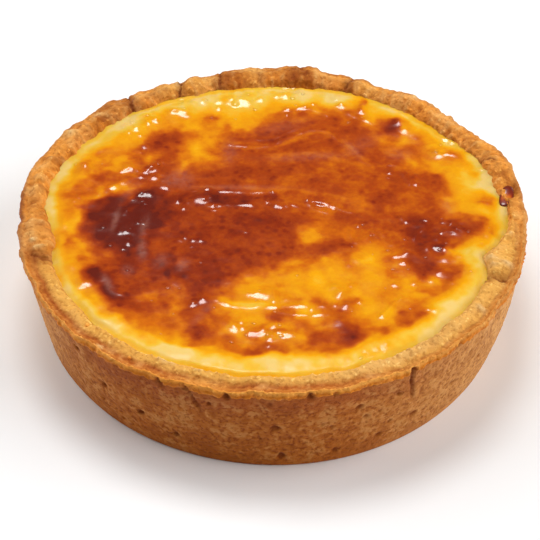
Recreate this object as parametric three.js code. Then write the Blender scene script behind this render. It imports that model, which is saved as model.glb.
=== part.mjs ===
// A round custard tart: a shortcrust pastry case, open at the top and filled with baked custard
// whose browned skin has slumped into folds and blisters.
// Millimetres, +Z up. The origin is the middle of the flat underside, and the front faces -Y.
// Angles round the tart are in degrees: 0 is +X (right), 90 is +Y (back), -90 is the front.

import * as THREE from 'three';
import { mergeVertices } from 'three/addons/utils/BufferGeometryUtils.js';

// Driving dimensions of the pastry case
const LIP_RADIUS = 50;
const LIP_HEIGHT = 22.3;
const BASE_RADIUS = 46.4;
const FOOT_ROUND = 0.5;
const WALL_BELLY = 0.35;
const FLOOR_THICKNESS = 4;
const LIP_PROUD = 0.7;
const LIP_DEPTH = 2;
const LIP_WIDTH = 1.9;
const GROOVE_RADIUS = 47.3;
const GROOVE_DEPTH = 0.9;
const RIDGE_RADIUS = 45.8;
const RIDGE_DROP = 0.4;
const EDGE_RADIUS = 44.5;
const EDGE_DROP = 1.5;
const WALL_STEPS = 8;

// Driving dimensions of the custard
const FILLING_GAP = 0.35;
const CUSTARD_LEVEL = 20.9;
const CUSTARD_EDGE_DROP = 0.5;
const CUSTARD_PUFF = 0.45;
const PUFF_INSET = 3.5;
const PUFF_REACH = 3;
const RING_STEP = 2.5;

// Both solids turn in the same steps, so the custard's side keeps its gap to the case all round
const TURN_STEPS = 144;
const WELD = 1e-4;

// Height on the wall below which the rim's unevenness has died out, and above which it is whole
const EVEN_BELOW = 8;
const UNEVEN_ABOVE = 20.5;

// Where the rim stands higher or lower, and further out or in, than a true circle
const RIM_SWELLS = [
  { at: 146, spread: 24, rise: 0.4, out: 0.9 },
  { at: 164, spread: 7, rise: 0.2, out: 1.0 },
  { at: 177, spread: 8, rise: 0, out: 0.4 },
  { at: 134, spread: 6, rise: 0.4, out: 0.4 },
  { at: 87, spread: 17, rise: 0.5, out: 0.1 },
  { at: 61, spread: 7, rise: -0.5, out: -0.2 },
  { at: 52, spread: 6, rise: 0.3, out: 0.1 },
  { at: 37, spread: 9, rise: -0.1, out: -0.4 },
  { at: 19, spread: 11, rise: 0.3, out: 1.1 },
  { at: -18, spread: 6, rise: 0.4, out: 0.2 },
  { at: -172, spread: 8, rise: 0.4, out: 0.1 },
  { at: -130, spread: 20, rise: -0.2, out: 0.1 },
];

// Where the inner ridge bulges in over the custard, or (below zero) draws back from it
const RIDGE_BULGES = [
  { at: -172, spread: 6, inward: 1.5 },
  { at: -16, spread: 5, inward: 1.9 },
  { at: 97, spread: 20, inward: 0.9 },
  { at: 2, spread: 9, inward: -1.1 },
  { at: 165, spread: 14, inward: -0.4 },
];

// Cracks and folded joins that cross the rim
const RIM_CRACKS = [
  { at: 10, width: 1.6, depth: 1.1 },
  { at: 65, width: 1.6, depth: 0.5 },
  { at: 98, width: 1.5, depth: 0.6 },
  { at: 110, width: 2.2, depth: 1.2 },
  { at: 130, width: 1.4, depth: 0.9 },
  { at: -163, width: 1.5, depth: 1.1 },
  { at: -24, width: 1.4, depth: 0.8 },
];

// Creases pressed into the outside of the wall, from their top to their lower end
const WALL_CREASES = [
  { top: { at: -109, z: 21.5 }, end: { at: -104.5, z: 12 }, width: 1.5, depth: 0.6 },
  { top: { at: -59, z: 21.5 }, end: { at: -57, z: 8 }, width: 1.5, depth: 0.8 },
];

// Where the wall bellies out more than elsewhere
const WALL_BELLIES = [
  { at: -25, spread: 35, out: 0.5 },
  { at: -155, spread: 25, out: 0.15 },
];

// Ripples round the rim: how many to a turn, how tall, and where in the turn they start
const RIM_RIPPLES = [
  { count: 17, tall: 0.12, start: 40 },
  { count: 29, tall: 0.12, start: 115 },
  { count: 47, tall: 0.08, start: 10 },
];

// Folds of the custard's skin: the line of each crest, how high it stands, how far it slopes away
// on its steep side (right of the line's direction) and on its long side (left of it)
const SKIN_FOLDS = [
  { line: [[-22, 10], [-17, 8], [-8, 8], [1, 7.5]], rise: 1, steep: 2.4, long: 6 },
  { line: [[7, 5.2], [13, 3], [20, 1]], rise: 0.6, steep: 2, long: 5 },
  { line: [[-24, 17], [-23, 9], [-29, 4], [-31, -3]], rise: 0.7, steep: 2.4, long: 3 },
  { line: [[-20, 9], [-26, 2], [-25, -11]], rise: 0.6, steep: 2, long: 2.4 },
  { line: [[-10, 23], [0, 23], [8, 28], [15, 25], [19, 19]], rise: 0.3, steep: 2.2, long: 4 },
  { line: [[21, -4], [16, -8], [24, -11], [30, -17]], rise: 0.5, steep: 2.2, long: 5 },
  { line: [[29, -16], [32, -12], [34, -6], [41, -3]], rise: 0.5, steep: 2, long: 4 },
  { line: [[-10, -25], [2, -27], [12, -28]], rise: 0.4, steep: 2, long: 2.4 },
  { line: [[16, -30], [21, -28], [28, -22]], rise: 0.35, steep: 2, long: 2.6 },
  { line: [[2, 35], [12, 34], [21, 31]], rise: 0.4, steep: 2, long: 4 },
];

// Blisters on the skin, the largest ones
const BLISTERS = [
  { x: -15, y: 37, reach: 2.2, rise: 0.45 },
  { x: -6, y: 38, reach: 2.4, rise: 0.5 },
  { x: -28, y: 34, reach: 2.4, rise: 0.5 },
  { x: 26, y: 30, reach: 2.6, rise: 0.6 },
  { x: -33, y: -18, reach: 3, rise: 0.6 },
  { x: 14, y: -34, reach: 3, rise: 0.55 },
  { x: -14, y: -33, reach: 2.4, rise: 0.4 },
  { x: 37, y: 21, reach: 2.6, rise: 0.45 },
  { x: 29, y: -9, reach: 3, rise: 0.5 },
  { x: -36, y: 3, reach: 3, rise: 0.5 },
];

// Slow waves over the whole skin: length of a wave, the way it runs, and its height
const SKIN_WAVES = [
  { length: 31, heading: 25, tall: 0.14, start: 60 },
  { length: 21, heading: 110, tall: 0.12, start: 200 },
  { length: 13, heading: 70, tall: 0.08, start: 20 },
];

const FOLD_SAMPLES = 24;

const { degToRad, radToDeg, smoothstep } = THREE.MathUtils;

// A smooth hill, 1 at no distance and nearly gone at twice the reach
function hill(distance, reach) {
  return Math.exp(-((distance / reach) ** 2));
}

// The turn from one angle to another, the short way round
function turnFrom(angle, at) {
  return THREE.MathUtils.euclideanModulo(angle - at + 180, 360) - 180;
}

// Adds up one amount over a list of places round the rim
function sumRound(places, amount, angle) {
  return places.reduce(
    (sum, place) => sum + place[amount] * hill(turnFrom(angle, place.at), place.spread),
    0,
  );
}

function rimShare(z) {
  return smoothstep(z, EVEN_BELOW, UNEVEN_ABOVE);
}

function ripple(angle) {
  return RIM_RIPPLES.reduce(
    (sum, { count, tall, start }) => sum + tall * Math.sin(degToRad(count * angle + start)),
    0,
  );
}

// How far the case's inner edge, and the custard against it, lies outside the true circle
function edgeShift(angle) {
  return sumRound(RIM_SWELLS, 'out', angle) - sumRound(RIDGE_BULGES, 'inward', angle);
}

function crackDepth(angle) {
  const arc = degToRad(LIP_RADIUS);
  return RIM_CRACKS.reduce(
    (deepest, { at, width, depth }) =>
      Math.max(deepest, depth * hill(turnFrom(angle, at) * arc, width)),
    0,
  );
}

function creaseDepth(angle, z) {
  const arc = degToRad(LIP_RADIUS);
  return WALL_CREASES.reduce((deepest, { top, end, width, depth }) => {
    const down = (top.z - z) / (top.z - end.z);
    const across = turnFrom(angle, THREE.MathUtils.lerp(top.at, end.at, down)) * arc;
    return Math.max(deepest, depth * hill(across, width) * smoothstep(1 - down, 0, 0.6));
  }, 0);
}

// Turns a section about the upright axis, moves every point by its own rule and welds the seam
function turned(section, reshape) {
  const lathe = new THREE.LatheGeometry(section, TURN_STEPS);
  lathe.rotateX(Math.PI / 2);
  const position = lathe.getAttribute('position');
  const point = new THREE.Vector3();
  for (let i = 0; i < position.count; i++) {
    point.fromBufferAttribute(position, i);
    const radius = Math.hypot(point.x, point.y);
    if (radius > WELD) reshape(point, radius, radToDeg(Math.atan2(point.y, point.x)));
    position.setXYZ(i, point.x, point.y, point.z);
  }
  lathe.deleteAttribute('normal');
  lathe.deleteAttribute('uv');
  const welded = mergeVertices(lathe, WELD);
  welded.setIndex(withoutSlivers(Array.from(welded.index.array)));
  welded.computeVertexNormals();
  return welded;
}

// Drops the faces that have no area, as those that meet on the axis do
function withoutSlivers(corners) {
  const kept = [];
  for (let i = 0; i < corners.length; i += 3) {
    const [a, b, c] = corners.slice(i, i + 3);
    if (a !== b && b !== c && c !== a) kept.push(a, b, c);
  }
  return kept;
}

function setRadius(point, radius) {
  const scale = radius / Math.hypot(point.x, point.y);
  point.x *= scale;
  point.y *= scale;
}

// Radius of the case's inner wall, which runs alongside the outer one
function innerWall(z) {
  return EDGE_RADIUS - 0.5 - ((LIP_RADIUS - BASE_RADIUS) * (LIP_HEIGHT - z)) / LIP_HEIGHT;
}

// Half section of the case, from the middle of the underside round to the middle of the floor
function caseSection() {
  const wallTop = LIP_HEIGHT - LIP_DEPTH;
  const section = [
    [0, 0],
    [BASE_RADIUS - FOOT_ROUND, 0],
    [BASE_RADIUS - FOOT_ROUND * 0.3, FOOT_ROUND * 0.3],
  ];
  for (let step = 0; step <= WALL_STEPS; step++) {
    const share = step / WALL_STEPS;
    section.push([
      THREE.MathUtils.lerp(BASE_RADIUS, LIP_RADIUS - LIP_PROUD, share),
      THREE.MathUtils.lerp(FOOT_ROUND, wallTop, share),
    ]);
  }
  section.push(
    [LIP_RADIUS - LIP_PROUD * 0.2, wallTop + LIP_DEPTH * 0.15],
    [LIP_RADIUS, wallTop + LIP_DEPTH * 0.5],
    [LIP_RADIUS - LIP_WIDTH * 0.2, wallTop + LIP_DEPTH * 0.85],
    [LIP_RADIUS - LIP_WIDTH * 0.55, LIP_HEIGHT],
    [LIP_RADIUS - LIP_WIDTH, LIP_HEIGHT - GROOVE_DEPTH * 0.35],
    [GROOVE_RADIUS, LIP_HEIGHT - GROOVE_DEPTH],
    [(GROOVE_RADIUS + RIDGE_RADIUS) / 2, LIP_HEIGHT - RIDGE_DROP * 1.5],
    [RIDGE_RADIUS, LIP_HEIGHT - RIDGE_DROP],
    [(RIDGE_RADIUS + EDGE_RADIUS) / 2, LIP_HEIGHT - RIDGE_DROP * 1.7],
    [EDGE_RADIUS, LIP_HEIGHT - EDGE_DROP],
    [innerWall(LIP_HEIGHT * 0.85), LIP_HEIGHT * 0.85],
    [innerWall(FLOOR_THICKNESS * 1.5), FLOOR_THICKNESS * 1.5],
    [innerWall(FLOOR_THICKNESS) - FLOOR_THICKNESS * 0.3, FLOOR_THICKNESS],
    [0, FLOOR_THICKNESS],
  );
  return section.map(([radius, z]) => new THREE.Vector2(radius, z));
}

function reshapeCase(point, radius, angle) {
  const share = rimShare(point.z);
  const onTop = smoothstep(point.z, LIP_HEIGHT - LIP_DEPTH, LIP_HEIGHT - EDGE_DROP * 0.5);
  const inside = smoothstep(GROOVE_RADIUS - radius, 0, GROOVE_RADIUS - EDGE_RADIUS);
  const outside = smoothstep(radius - innerWall(point.z), 2, 3.5);
  const crack = crackDepth(angle);
  const belly = Math.sin((Math.PI * point.z) / LIP_HEIGHT) * outside;
  const shift =
    share * THREE.MathUtils.lerp(sumRound(RIM_SWELLS, 'out', angle), edgeShift(angle), inside) +
    outside * (share * ripple(angle) - onTop * crack * 0.4) +
    belly * (WALL_BELLY + sumRound(WALL_BELLIES, 'out', angle)) -
    outside * creaseDepth(angle, point.z);
  point.z += share * sumRound(RIM_SWELLS, 'rise', angle) + onTop * (ripple(angle + 5) - crack);
  setRadius(point, radius + shift);
}

// Half section of the custard, from the middle of its underside round to the middle of its skin
function custardSection() {
  const edge = EDGE_RADIUS - FILLING_GAP;
  const side = (z) => innerWall(z) - FILLING_GAP;
  const floor = FLOOR_THICKNESS + FILLING_GAP;
  const section = [
    [0, floor],
    [side(floor) - FLOOR_THICKNESS * 0.3, floor],
    [side(FLOOR_THICKNESS * 1.5), FLOOR_THICKNESS * 1.5 + FILLING_GAP],
    [side(LIP_HEIGHT * 0.85), LIP_HEIGHT * 0.85],
    [edge - FILLING_GAP, CUSTARD_LEVEL - CUSTARD_EDGE_DROP],
    [edge - 1.4, CUSTARD_LEVEL],
  ];
  for (let radius = edge - 3; radius > RING_STEP; radius -= RING_STEP) {
    section.push([radius, CUSTARD_LEVEL]);
  }
  section.push([0, CUSTARD_LEVEL]);
  return section.map(([radius, z]) => new THREE.Vector2(radius, z));
}

// Height of one fold at a point: a crest with one steep side and one long side
function foldHeight({ samples, rise, steep, long }, x, y) {
  const here = new THREE.Vector2(x, y);
  let nearest = Infinity;
  let leftward = 0;
  for (let i = 0; i + 1 < samples.length; i++) {
    const away = here.clone().sub(samples[i]);
    if (away.length() < nearest) {
      nearest = away.length();
      const heading = samples[i + 1].clone().sub(samples[i]).normalize();
      leftward = heading.cross(away) / Math.max(nearest, WELD);
    }
  }
  return rise * hill(nearest, THREE.MathUtils.lerp(steep, long, (1 + leftward) / 2));
}

const foldCrests = SKIN_FOLDS.map(({ line, ...shape }) => ({
  ...shape,
  samples: new THREE.SplineCurve(line.map(([x, y]) => new THREE.Vector2(x, y))).getPoints(
    FOLD_SAMPLES,
  ),
}));

// How far the skin stands above the custard's level at a point
function skinRelief(x, y) {
  const inset = EDGE_RADIUS - Math.hypot(x, y);
  const waves = SKIN_WAVES.reduce((sum, { length, heading, tall, start }) => {
    const run = x * Math.cos(degToRad(heading)) + y * Math.sin(degToRad(heading));
    return sum + tall * Math.sin((run / length) * 2 * Math.PI + degToRad(start));
  }, 0);
  const folds = Math.max(...foldCrests.map((fold) => foldHeight(fold, x, y)));
  const blisters = BLISTERS.reduce(
    (sum, { x: bx, y: by, reach, rise }) => sum + rise * hill(Math.hypot(x - bx, y - by), reach),
    0,
  );
  return CUSTARD_PUFF * hill(inset - PUFF_INSET, PUFF_REACH) + waves + folds + blisters;
}

function reshapeCustard(point, radius, angle) {
  const nearWall = smoothstep(radius, EDGE_RADIUS * 0.7, EDGE_RADIUS - FILLING_GAP * 2);
  const shift = rimShare(point.z) * edgeShift(angle) * nearWall;
  const topShare = smoothstep(point.z, LIP_HEIGHT * 0.85, CUSTARD_LEVEL);
  point.z += topShare * skinRelief(point.x, point.y);
  setRadius(point, radius + shift);
}

function piece(name, geometry, material) {
  const mesh = new THREE.Mesh(geometry, material);
  mesh.name = name;
  return mesh;
}

const pastryFinish = new THREE.MeshStandardMaterial({
  color: 0xc08a4c,
  roughness: 0.75,
  metalness: 0,
});
const custardFinish = new THREE.MeshStandardMaterial({
  color: 0xd9780f,
  roughness: 0.15,
  metalness: 0,
});

const tart = new THREE.Group();
tart.name = 'custard_tart';
tart.add(
  piece('pastry_case', turned(caseSection(), reshapeCase), pastryFinish),
  piece('custard', turned(custardSection(), reshapeCustard), custardFinish),
);

export default tart;
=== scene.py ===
"""Bakes a custard tart round its fixed frame: the pastry case, the browned custard, its glaze and its crumbs.

Lists of places are in millimetres and degrees: 0 is +X (right), 90 is +Y (back), -90 is the front.
Waves round the tart are given as height, fewest and most to a turn, and the draw for them.
Rolling ground is given as height, size of its hills, and the draw for it.
Properties and finished meshes are in metres.
"""

import math

import bpy
import numpy as np
from bpy.props import FloatProperty, FloatVectorProperty, IntProperty, PointerProperty
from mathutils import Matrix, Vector


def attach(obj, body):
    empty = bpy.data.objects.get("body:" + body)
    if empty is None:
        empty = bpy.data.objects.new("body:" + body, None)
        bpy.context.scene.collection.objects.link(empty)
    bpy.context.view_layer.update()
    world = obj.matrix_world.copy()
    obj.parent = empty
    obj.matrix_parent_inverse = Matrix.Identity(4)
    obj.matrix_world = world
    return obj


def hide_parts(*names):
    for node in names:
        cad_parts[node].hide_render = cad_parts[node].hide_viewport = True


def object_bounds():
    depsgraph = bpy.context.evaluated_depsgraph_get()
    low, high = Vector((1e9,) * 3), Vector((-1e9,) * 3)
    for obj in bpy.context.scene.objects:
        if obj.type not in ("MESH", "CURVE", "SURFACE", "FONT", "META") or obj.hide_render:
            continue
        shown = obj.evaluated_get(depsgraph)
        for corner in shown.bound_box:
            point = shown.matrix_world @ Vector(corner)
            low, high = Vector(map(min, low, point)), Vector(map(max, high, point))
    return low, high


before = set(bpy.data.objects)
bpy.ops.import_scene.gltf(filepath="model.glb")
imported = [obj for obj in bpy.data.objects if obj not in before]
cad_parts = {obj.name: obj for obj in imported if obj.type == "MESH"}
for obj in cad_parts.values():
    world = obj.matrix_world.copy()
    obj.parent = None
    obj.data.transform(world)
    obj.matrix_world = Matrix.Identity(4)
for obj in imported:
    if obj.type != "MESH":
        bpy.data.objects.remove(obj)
CAD_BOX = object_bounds()

bl_info = {
    "name": "Custard Tart",
    "version": (1, 0, 0),
    "blender": (4, 5, 0),
    "location": "View3D > Sidebar > Tart",
    "description": "Bakes a custard tart with a crumbly case and a browned, glazed skin",
    "category": "Add Mesh",
}

MM = 0.001
IMAGE_PIXELS = 540
SENSOR_WIDTH = 36.0
NEAREST_SEEN = 0.01
AIM_BELOW_MIDDLE = 0.0006
FLOOR_SIZE = 6

# Lamps: where they hang and how wide they are, in metres
KEY_PLACE = (-0.06, 0.22, 0.75)
KEY_SIZE = 0.34
RIGHT_PLACE = (0.79, -0.11, 0.53)
LEFT_PLACE = (-0.73, 0.27, 0.53)
SOFTBOX_SIZE = 1.1

# Pastry case, nominal half section in millimetres
FOOT_ROUND = 0.5
WALL_BELLY = 0.35
FLOOR_THICKNESS = 4.0
FLOOR_CORNER = 1.2
LIP_PROUD = 0.7
LIP_DEPTH = 1.9
LIP_WIDTH = 1.4
RIM_DEPTH = 2.0
GROOVE_RADIUS = 47.3
GROOVE_WIDTH = 0.65
GROOVE_DEPTH = 0.9
LINE_RADIUS = 48.5
LINE_WIDTH = 0.3
LINE_DEPTH = 0.2
RIDGE_RADIUS = 45.6
RIDGE_WIDTH = 0.9
RIDGE_DROP = 0.3
EDGE_RADIUS = 44.5
EDGE_DROP = 1.5
INNER_WALL_INSET = 0.5
INNER_WALL_TOP = 0.85
INNER_WALL_FOOT = 6.0
FILLING_GAP = 0.3
CUSTARD_TUCK = 0.3
MM_PER_DEGREE = math.radians(EDGE_RADIUS)

# The front of the rim keeps its pressed groove: its middle angle, and the turn over which the back begins
FRONT_MIDDLE = -84
FRONT_FADE = (70, 92)

# The case is turned true below the first height and has the full swells of its rim above the second
EVEN_BELOW = 8.0
UNEVEN_ABOVE = 20.5

# The groove wanders outwards on both sides of the narrowest place of the lip: angle, spread, how far, width
NARROWEST_RIDGE = -100
NARROW_SPREAD = 25
GROOVE_WANDER = 0.85
GROOVE_WANDER_WIDTH = 1.6

# Where parts of the case begin and are whole: depth from the inner wall, height, depth below the lip
OUTER_HALF = (2, 3.5)
WALL_FOOT = (1.5, 2.5)
WALL_TOP = (18, 19.5)
FOOT_CRUMB = (0.2, 1.0)
FOOT_BULGE_TOP = 9
NOTCH_FADE = (0.5, 1.3)

# Uneven lines round the case
EDGE_WOBBLE = (0.22, 16, 50, 61)
EDGE_CRUMBLE = (0.1, 70, 160, 62)
RIDGE_CRUMBLE = (0.2, 70, 260, 3)
LIP_CRUMBLE = (0.06, 60, 220, 5)
LIP_GRIT = (0.02, 220, 420, 6)
LIP_UNDERSIDE = (0.12, 60, 200, 9)
RIM_UNEVENNESS = (1.0, 35, 95, 8)
RIM_FLUTES = (0.32, 80, 170, 13)
LINE_TOASTING = (1.0, 10, 60, 18)
CREST_TOASTING = (1.0, 8, 50, 17)
CRACK_WAVES = (60, 160)
CRACK_WANDER = 0.5

# A crack's angle picks the draw for its line: steps to a degree, and how many draws there are
CRACK_DRAW_STEPS = 7
CRACK_DRAWS = 97

# Ends and widths of cracks, creases and pits as shares of their own size, and a crease's mean depth
CRACK_FADE = 0.2
VALLEY_WIDTH = 2.4
SLIT_WIDTH = 0.5
CREASE_END = (0, 0.5)
CREASE_MEAN = 0.75
PIT_SIDES = (0.4, 1.2)

# How flat the tops of the skin's oval patches are, above 1
PATCH_FLATNESS = 1.2

# Rolling ground of the case
FLUTE_BEND = (1.5, 5, 53)
RIM_LUMPS = ((0.4, 3.6, 51), (0.35, 1.7, 52), (0.3, 0.9, 54))
CALMER_LIP = (47.5, 49.6)
CALMER_LIP_SHARE = 0.5
CREASE_WANDER = (0.15, 2, 57)
CREASE_BREAKS = (0.4, 1.5, 58)
PIT_OUTLINE = (0.35, 0.7, 46)
TOAST_PATCHES = (0.5, 1.5, 55)
DARK_PATCHES = (1.0, 4, 56)
GRAIN_PATCHES = (1.0, 3.5, 59)
FLECKS = (1.0, 1.2, 63)
FLECKED_PATCHES = (1.0, 4.5, 64)

# Heights and strengths that differ round the rim: at the back, at the front
LUMP_RISE = (0.5, 0.24)
LIP_UNEVEN = (0.1, 0.06)
TOP_UNEVEN = (0.06, 0.03)
CRUMBLY_RIM = (0.6, 0.55)
LUMPY_RIM = (0.8, 0.2)
PITTED_WALL = (0.75, 0.3)
GROOVE_TINT = (0.1, 0.95)
# Painted shade in the hollows between the rim's lumps and painted light on their tops
LUMP_HOLLOW_SHADE = (0.32, 0.12)
LUMP_TOP_LIGHT = (0.45, 0.35)

# Further strengths of the case's relief
RIPPLE_LAG = 5
GROOVE_FILL = 1.15
CRACK_PULL = 0.4
CRUMBLY_LIP = 0.8
CALMER_BACK_EDGE = 0.6
LUMPY_WALL = 0.22

# The back of the rim is rounded over: radius, half width and rise of its crown and of its outer edge
BACK_ROUNDING = ((46.8, 1.2, 0.2), (49.8, 0.8, -0.5))

# How dark the crust's hollows are painted: painted shade in its valleys, slits, creases, notches, pits and
# the caramel hollow
VALLEY_SHADE = 0.45
SLIT_SHADE = 0.8
CREASE_SHADE = 1.5
HOLE_SHADE = 0.4
PIT_SHADE = 2.2

# Colour zones of the wall: heights or turns at which a zone begins and is whole. The paler ends of the wall,
# away from its darkest front, are partly the crust's tone and partly painted light and sheen from the side
# lamps
FOOT_ZONE = (-9, -1)
UNDER_LIP_ZONE = (14, 18.5)
DARKEST_WALL = -102
PALE_SIDES = (20, 75)
PALEST_CREST = -95
PALE_CREST = (25, 75)

# How strongly each colour is laid on the crust, from 0 to 1
BACK_TINT = 0.85
LINE_TOAST = 0.4
# Golden foot: painted shade and warm light bounced from the custard, where the back rim's inner face meets it
GOLDEN_FOOT = 0.4
INNER_FACE_SHADE = 0.9
RIGHT_SLOPE_FLAKE = 0.4
STRETCH_TOAST = 0.85
PATCH_TOAST = 0.3
FLECK_TOAST = 0.45
PATCH_GRAIN = 0.5
# Contact shade: painted shade along the rim's inner edge at the custard
CONTACT_SHADE = 0.2
CREST_SIDE = 0.75
CREST_TOAST = 0.35
LOWER_LIP_SHADE = 0.9
LIP_GOLD = 0.45
FLAKE_PALENESS = 2.5

# Places of the rim's colours: angle and spread, or the turn, radius or depth over which one fades; shares
RIGHT_SLOPE = (-58, 22)
PALER_RIGHT = (-82, 0, 28)
PALER_RIGHT_SHARE = 0.8
PALER_LIP = (-105, 6)
PALER_LIP_SHARE = 0.45
GOLDEN_LIP = (-112, 20)
PALER_BACK_RIGHT = (8, 25)
OUTER_LINE = (47.0, 47.5)
LINE_TINT = 0.35
LIP_SLOPE = (0.5, 1.7)
LIP_SLOPE_TINT = 0.8

# How finely the case and the custard are meshed
CASE_COLUMNS = 920
WALL_ROWS = 58
RIM_ROWS = 44
SKIN_COUNT = 306
POINTS_TO_A_KNOT = 6

# Rim swells: angle, spread, rise, and how far out
RIM_SWELLS = (
    (146, 24, 0.4, 0.9), (164, 7, 0.2, 1.0), (177, 8, 0.0, 0.4), (134, 6, 0.4, 0.4), (87, 17, 0.8, 0.1),
    (68, 4, 0.35, 0.0), (106.5, 3, -0.85, 0.0), (112, 3, 0.5, 0.0), (102.5, 2.5, 0.4, 0.0),
    (88.3, 2.5, -0.4, 0.0), (82, 4, 0.5, 0.0), (74, 3, -0.25, 0.0), (64, 3, -0.3, 0.0),
    (53, 4, 0.6, 0.0), (61, 7, -0.5, -0.2), (52, 6, 0.3, 0.1), (37, 9, -0.1, -0.4), (19, 12, 0.3, 1.4),
    (-18, 6, 0.4, 0.2), (-14.5, 2.5, 0.0, -0.45), (150, 5, 0.1, 0.3), (-177, 5, 0.0, -0.2),
    (-172, 8, 0.4, 0.1), (-130, 20, -0.2, 0.1),
)

# Inner ridge bulges: angle, spread, and how far in over the custard
RIDGE_BULGES = (
    (-172, 6, 1.5),
    (-16, 5, 1.9),
    (97, 20, 0.9),
    (0, 9, -2.0),
    (165, 14, -0.4),
)

# Cracks across the rim: angle at the custard, angle at the lip, width, depth, and how far out they reach
RIM_CRACKS = (
    (22.0, 19.0, 0.5, 0.8, 0.6), (70.0, 69.0, 0.55, 0.9, 1.3), (82.0, 83.0, 0.4, 0.4, 1.3),
    (94.0, 93.0, 0.5, 0.3, 1.3), (105.0, 103.5, 0.6, 0.8, 1.3), (116.5, 113.5, 0.5, 1.3, 1.3),
    (130.5, 128.5, 0.7, 1.0, 1.3), (138.0, 137.0, 0.5, 0.4, 0.7), (146.0, 147.0, 0.5, 0.35, 0.8),
    (158.0, 157.0, 0.5, 0.4, 0.7), (-163.0, -167.0, 0.8, 0.6, 0.8), (-24.0, -22.0, 0.6, 1.0, 0.55),
    (48.0, 47.0, 0.4, 0.4, 0.7), (59.0, 58.0, 0.4, 0.35, 0.9), (36.0, 35.0, 0.4, 0.35, 0.7),
)
VALLEY_SHARE = 0.55
SLIT_SHARE = 0.5

# Pale flakes of crust standing on the rim: x, y, half width, rise
RIM_FLAKES = (
    (-19.2, -40.6, 0.8, 0.45), (-17.8, -41.4, 0.6, 0.35), (-20.4, -40.2, 0.5, 0.3),
    (-13.2, -43.0, 0.7, 0.4), (-31.2, -36.8, 0.7, 0.35), (-46.4, -8.6, 0.6, 0.4),
    (-45.2, -10.2, 0.6, 0.35), (38.2, -26.6, 0.7, 0.4), (43.0, -13.6, 0.7, 0.4),
    (44.2, -15.0, 0.8, 0.4), (42.4, -15.4, 0.6, 0.35), (45.6, -6.0, 0.6, 0.3), (34.0, 36.6, 0.7, 0.35),
    (30.4, 38.4, 0.6, 0.35), (-20.6, 44.4, 0.6, 0.4), (-41.0, 24.6, 0.8, 0.3), (-36.4, 31.4, 0.8, 0.3),
)

# Creases down the outside of the wall: top angle, top height, end angle, end height, width, depth
WALL_CREASES = (
    (-108.6, 21.6, -104.4, 13.0, 0.2, 0.8),
    (-59.8, 22.0, -58.0, 10.5, 0.36, 0.9),
    (-114.4, 21.6, -113.2, 18.6, 0.4, 0.5),
    (-99.6, 21.6, -99.2, 19.4, 0.4, 0.5),
    (-82.4, 21.4, -81.6, 19.2, 0.4, 0.5),
)

# The largest pits in the front of the wall: angle, height, half width, depth
WALL_PITS = (
    (-138.1, 17.3, 0.7, 0.6), (-132.8, 5.6, 0.5, 0.35), (-130.5, 11.2, 0.7, 0.6),
    (-120.9, 8.4, 0.75, 0.7), (-112.2, 5.3, 0.7, 0.65), (-103.0, 6.2, 0.4, 0.25),
    (-98.8, 5.6, 0.4, 0.3), (-90.7, 18.6, 0.5, 0.4), (-89.4, 11.9, 0.75, 0.6), (-88.0, 3.2, 0.8, 0.5),
    (-79.3, 11.9, 0.4, 0.3), (-77.3, 10.7, 0.5, 0.35), (-76.1, 3.3, 0.7, 0.45),
    (-71.2, 14.9, 0.6, 0.45), (-69.5, 11.7, 0.55, 0.4), (-66.5, 12.2, 0.4, 0.3), (-65.8, 4.6, 0.7, 0.4),
    (-63.4, 7.8, 0.45, 0.35), (-56.9, 7.1, 0.65, 0.5), (-46.3, 9.8, 0.6, 0.3), (-37.2, 11.5, 0.6, 0.3),
)

# Notches bitten out of the lip: angle, width, depth
LIP_NOTCHES = (
    (-99.6, 0.6, 0.7), (-82.2, 0.7, 0.7), (-77.0, 0.5, 0.5), (-114.2, 0.8, 0.7), (-108.5, 0.7, 0.6),
    (-59.6, 0.6, 0.8), (-46.9, 0.6, 0.6), (-145.3, 0.7, 0.6), (-125.0, 0.6, 0.4), (-33.0, 0.5, 0.5),
)

# The hollow in the right of the rim that holds caramel: its middle line, width and depth
CARAMEL_LINE = ((46.3, 3.4), (46.9, 6.2), (47.4, 9.6))
HOLE_WIDTH = 1.3
HOLE_DEPTH = 1.2
CARAMEL_GIRTH = 1.45
CARAMEL_FLATNESS = 0.45
CARAMEL_SUNK = 1.3
CARAMEL_DOME = 0.78
CARAMEL_DOME_REACH = 0.2
CARAMEL_RINGS = 28
CARAMEL_SIDES = 24

# Where the wall bellies out: angle, spread, and how far
WALL_BELLIES = ((-25, 35, 0.35), (-155, 25, -0.15))

# Where the foot of the wall stands out: angle, spread, and how far
FOOT_BULGES = ((-80, 26, 0.45), (-142, 14, -0.25), (-28, 18, -0.2))

# Ripples round the rim: how many to a turn, how tall, and where in the turn they start
RIM_RIPPLES = ((17, 0.12, 40), (29, 0.12, 115), (47, 0.08, 10))

# Stretches of rim that are toasted darker: angle, spread, strength
TOASTED_STRETCHES = (
    (101.5, 3.5, 0.75), (83, 4, 0.65), (87, 12, 0.35), (69, 1.6, 0.7), (129, 2, 0.6), (-178, 6, 0.3),
    (-165, 3, 0.6), (36, 9, 0.15), (136, 5, 0.8), (148, 8, 0.15),
)

# Paler stretches of the rim: angle, spread, strength
PALER_STRETCHES = ((117, 6, 0.5), (109, 3, 0.4), (95, 2, 0.3), (64, 4, 0.4))

# Toasted stretches of the outer edge: angle, spread, strength
EDGE_TOASTS = ((-180, 9, 0.7), (-15, 14, 0.12), (75, 10, 0.4))

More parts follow.
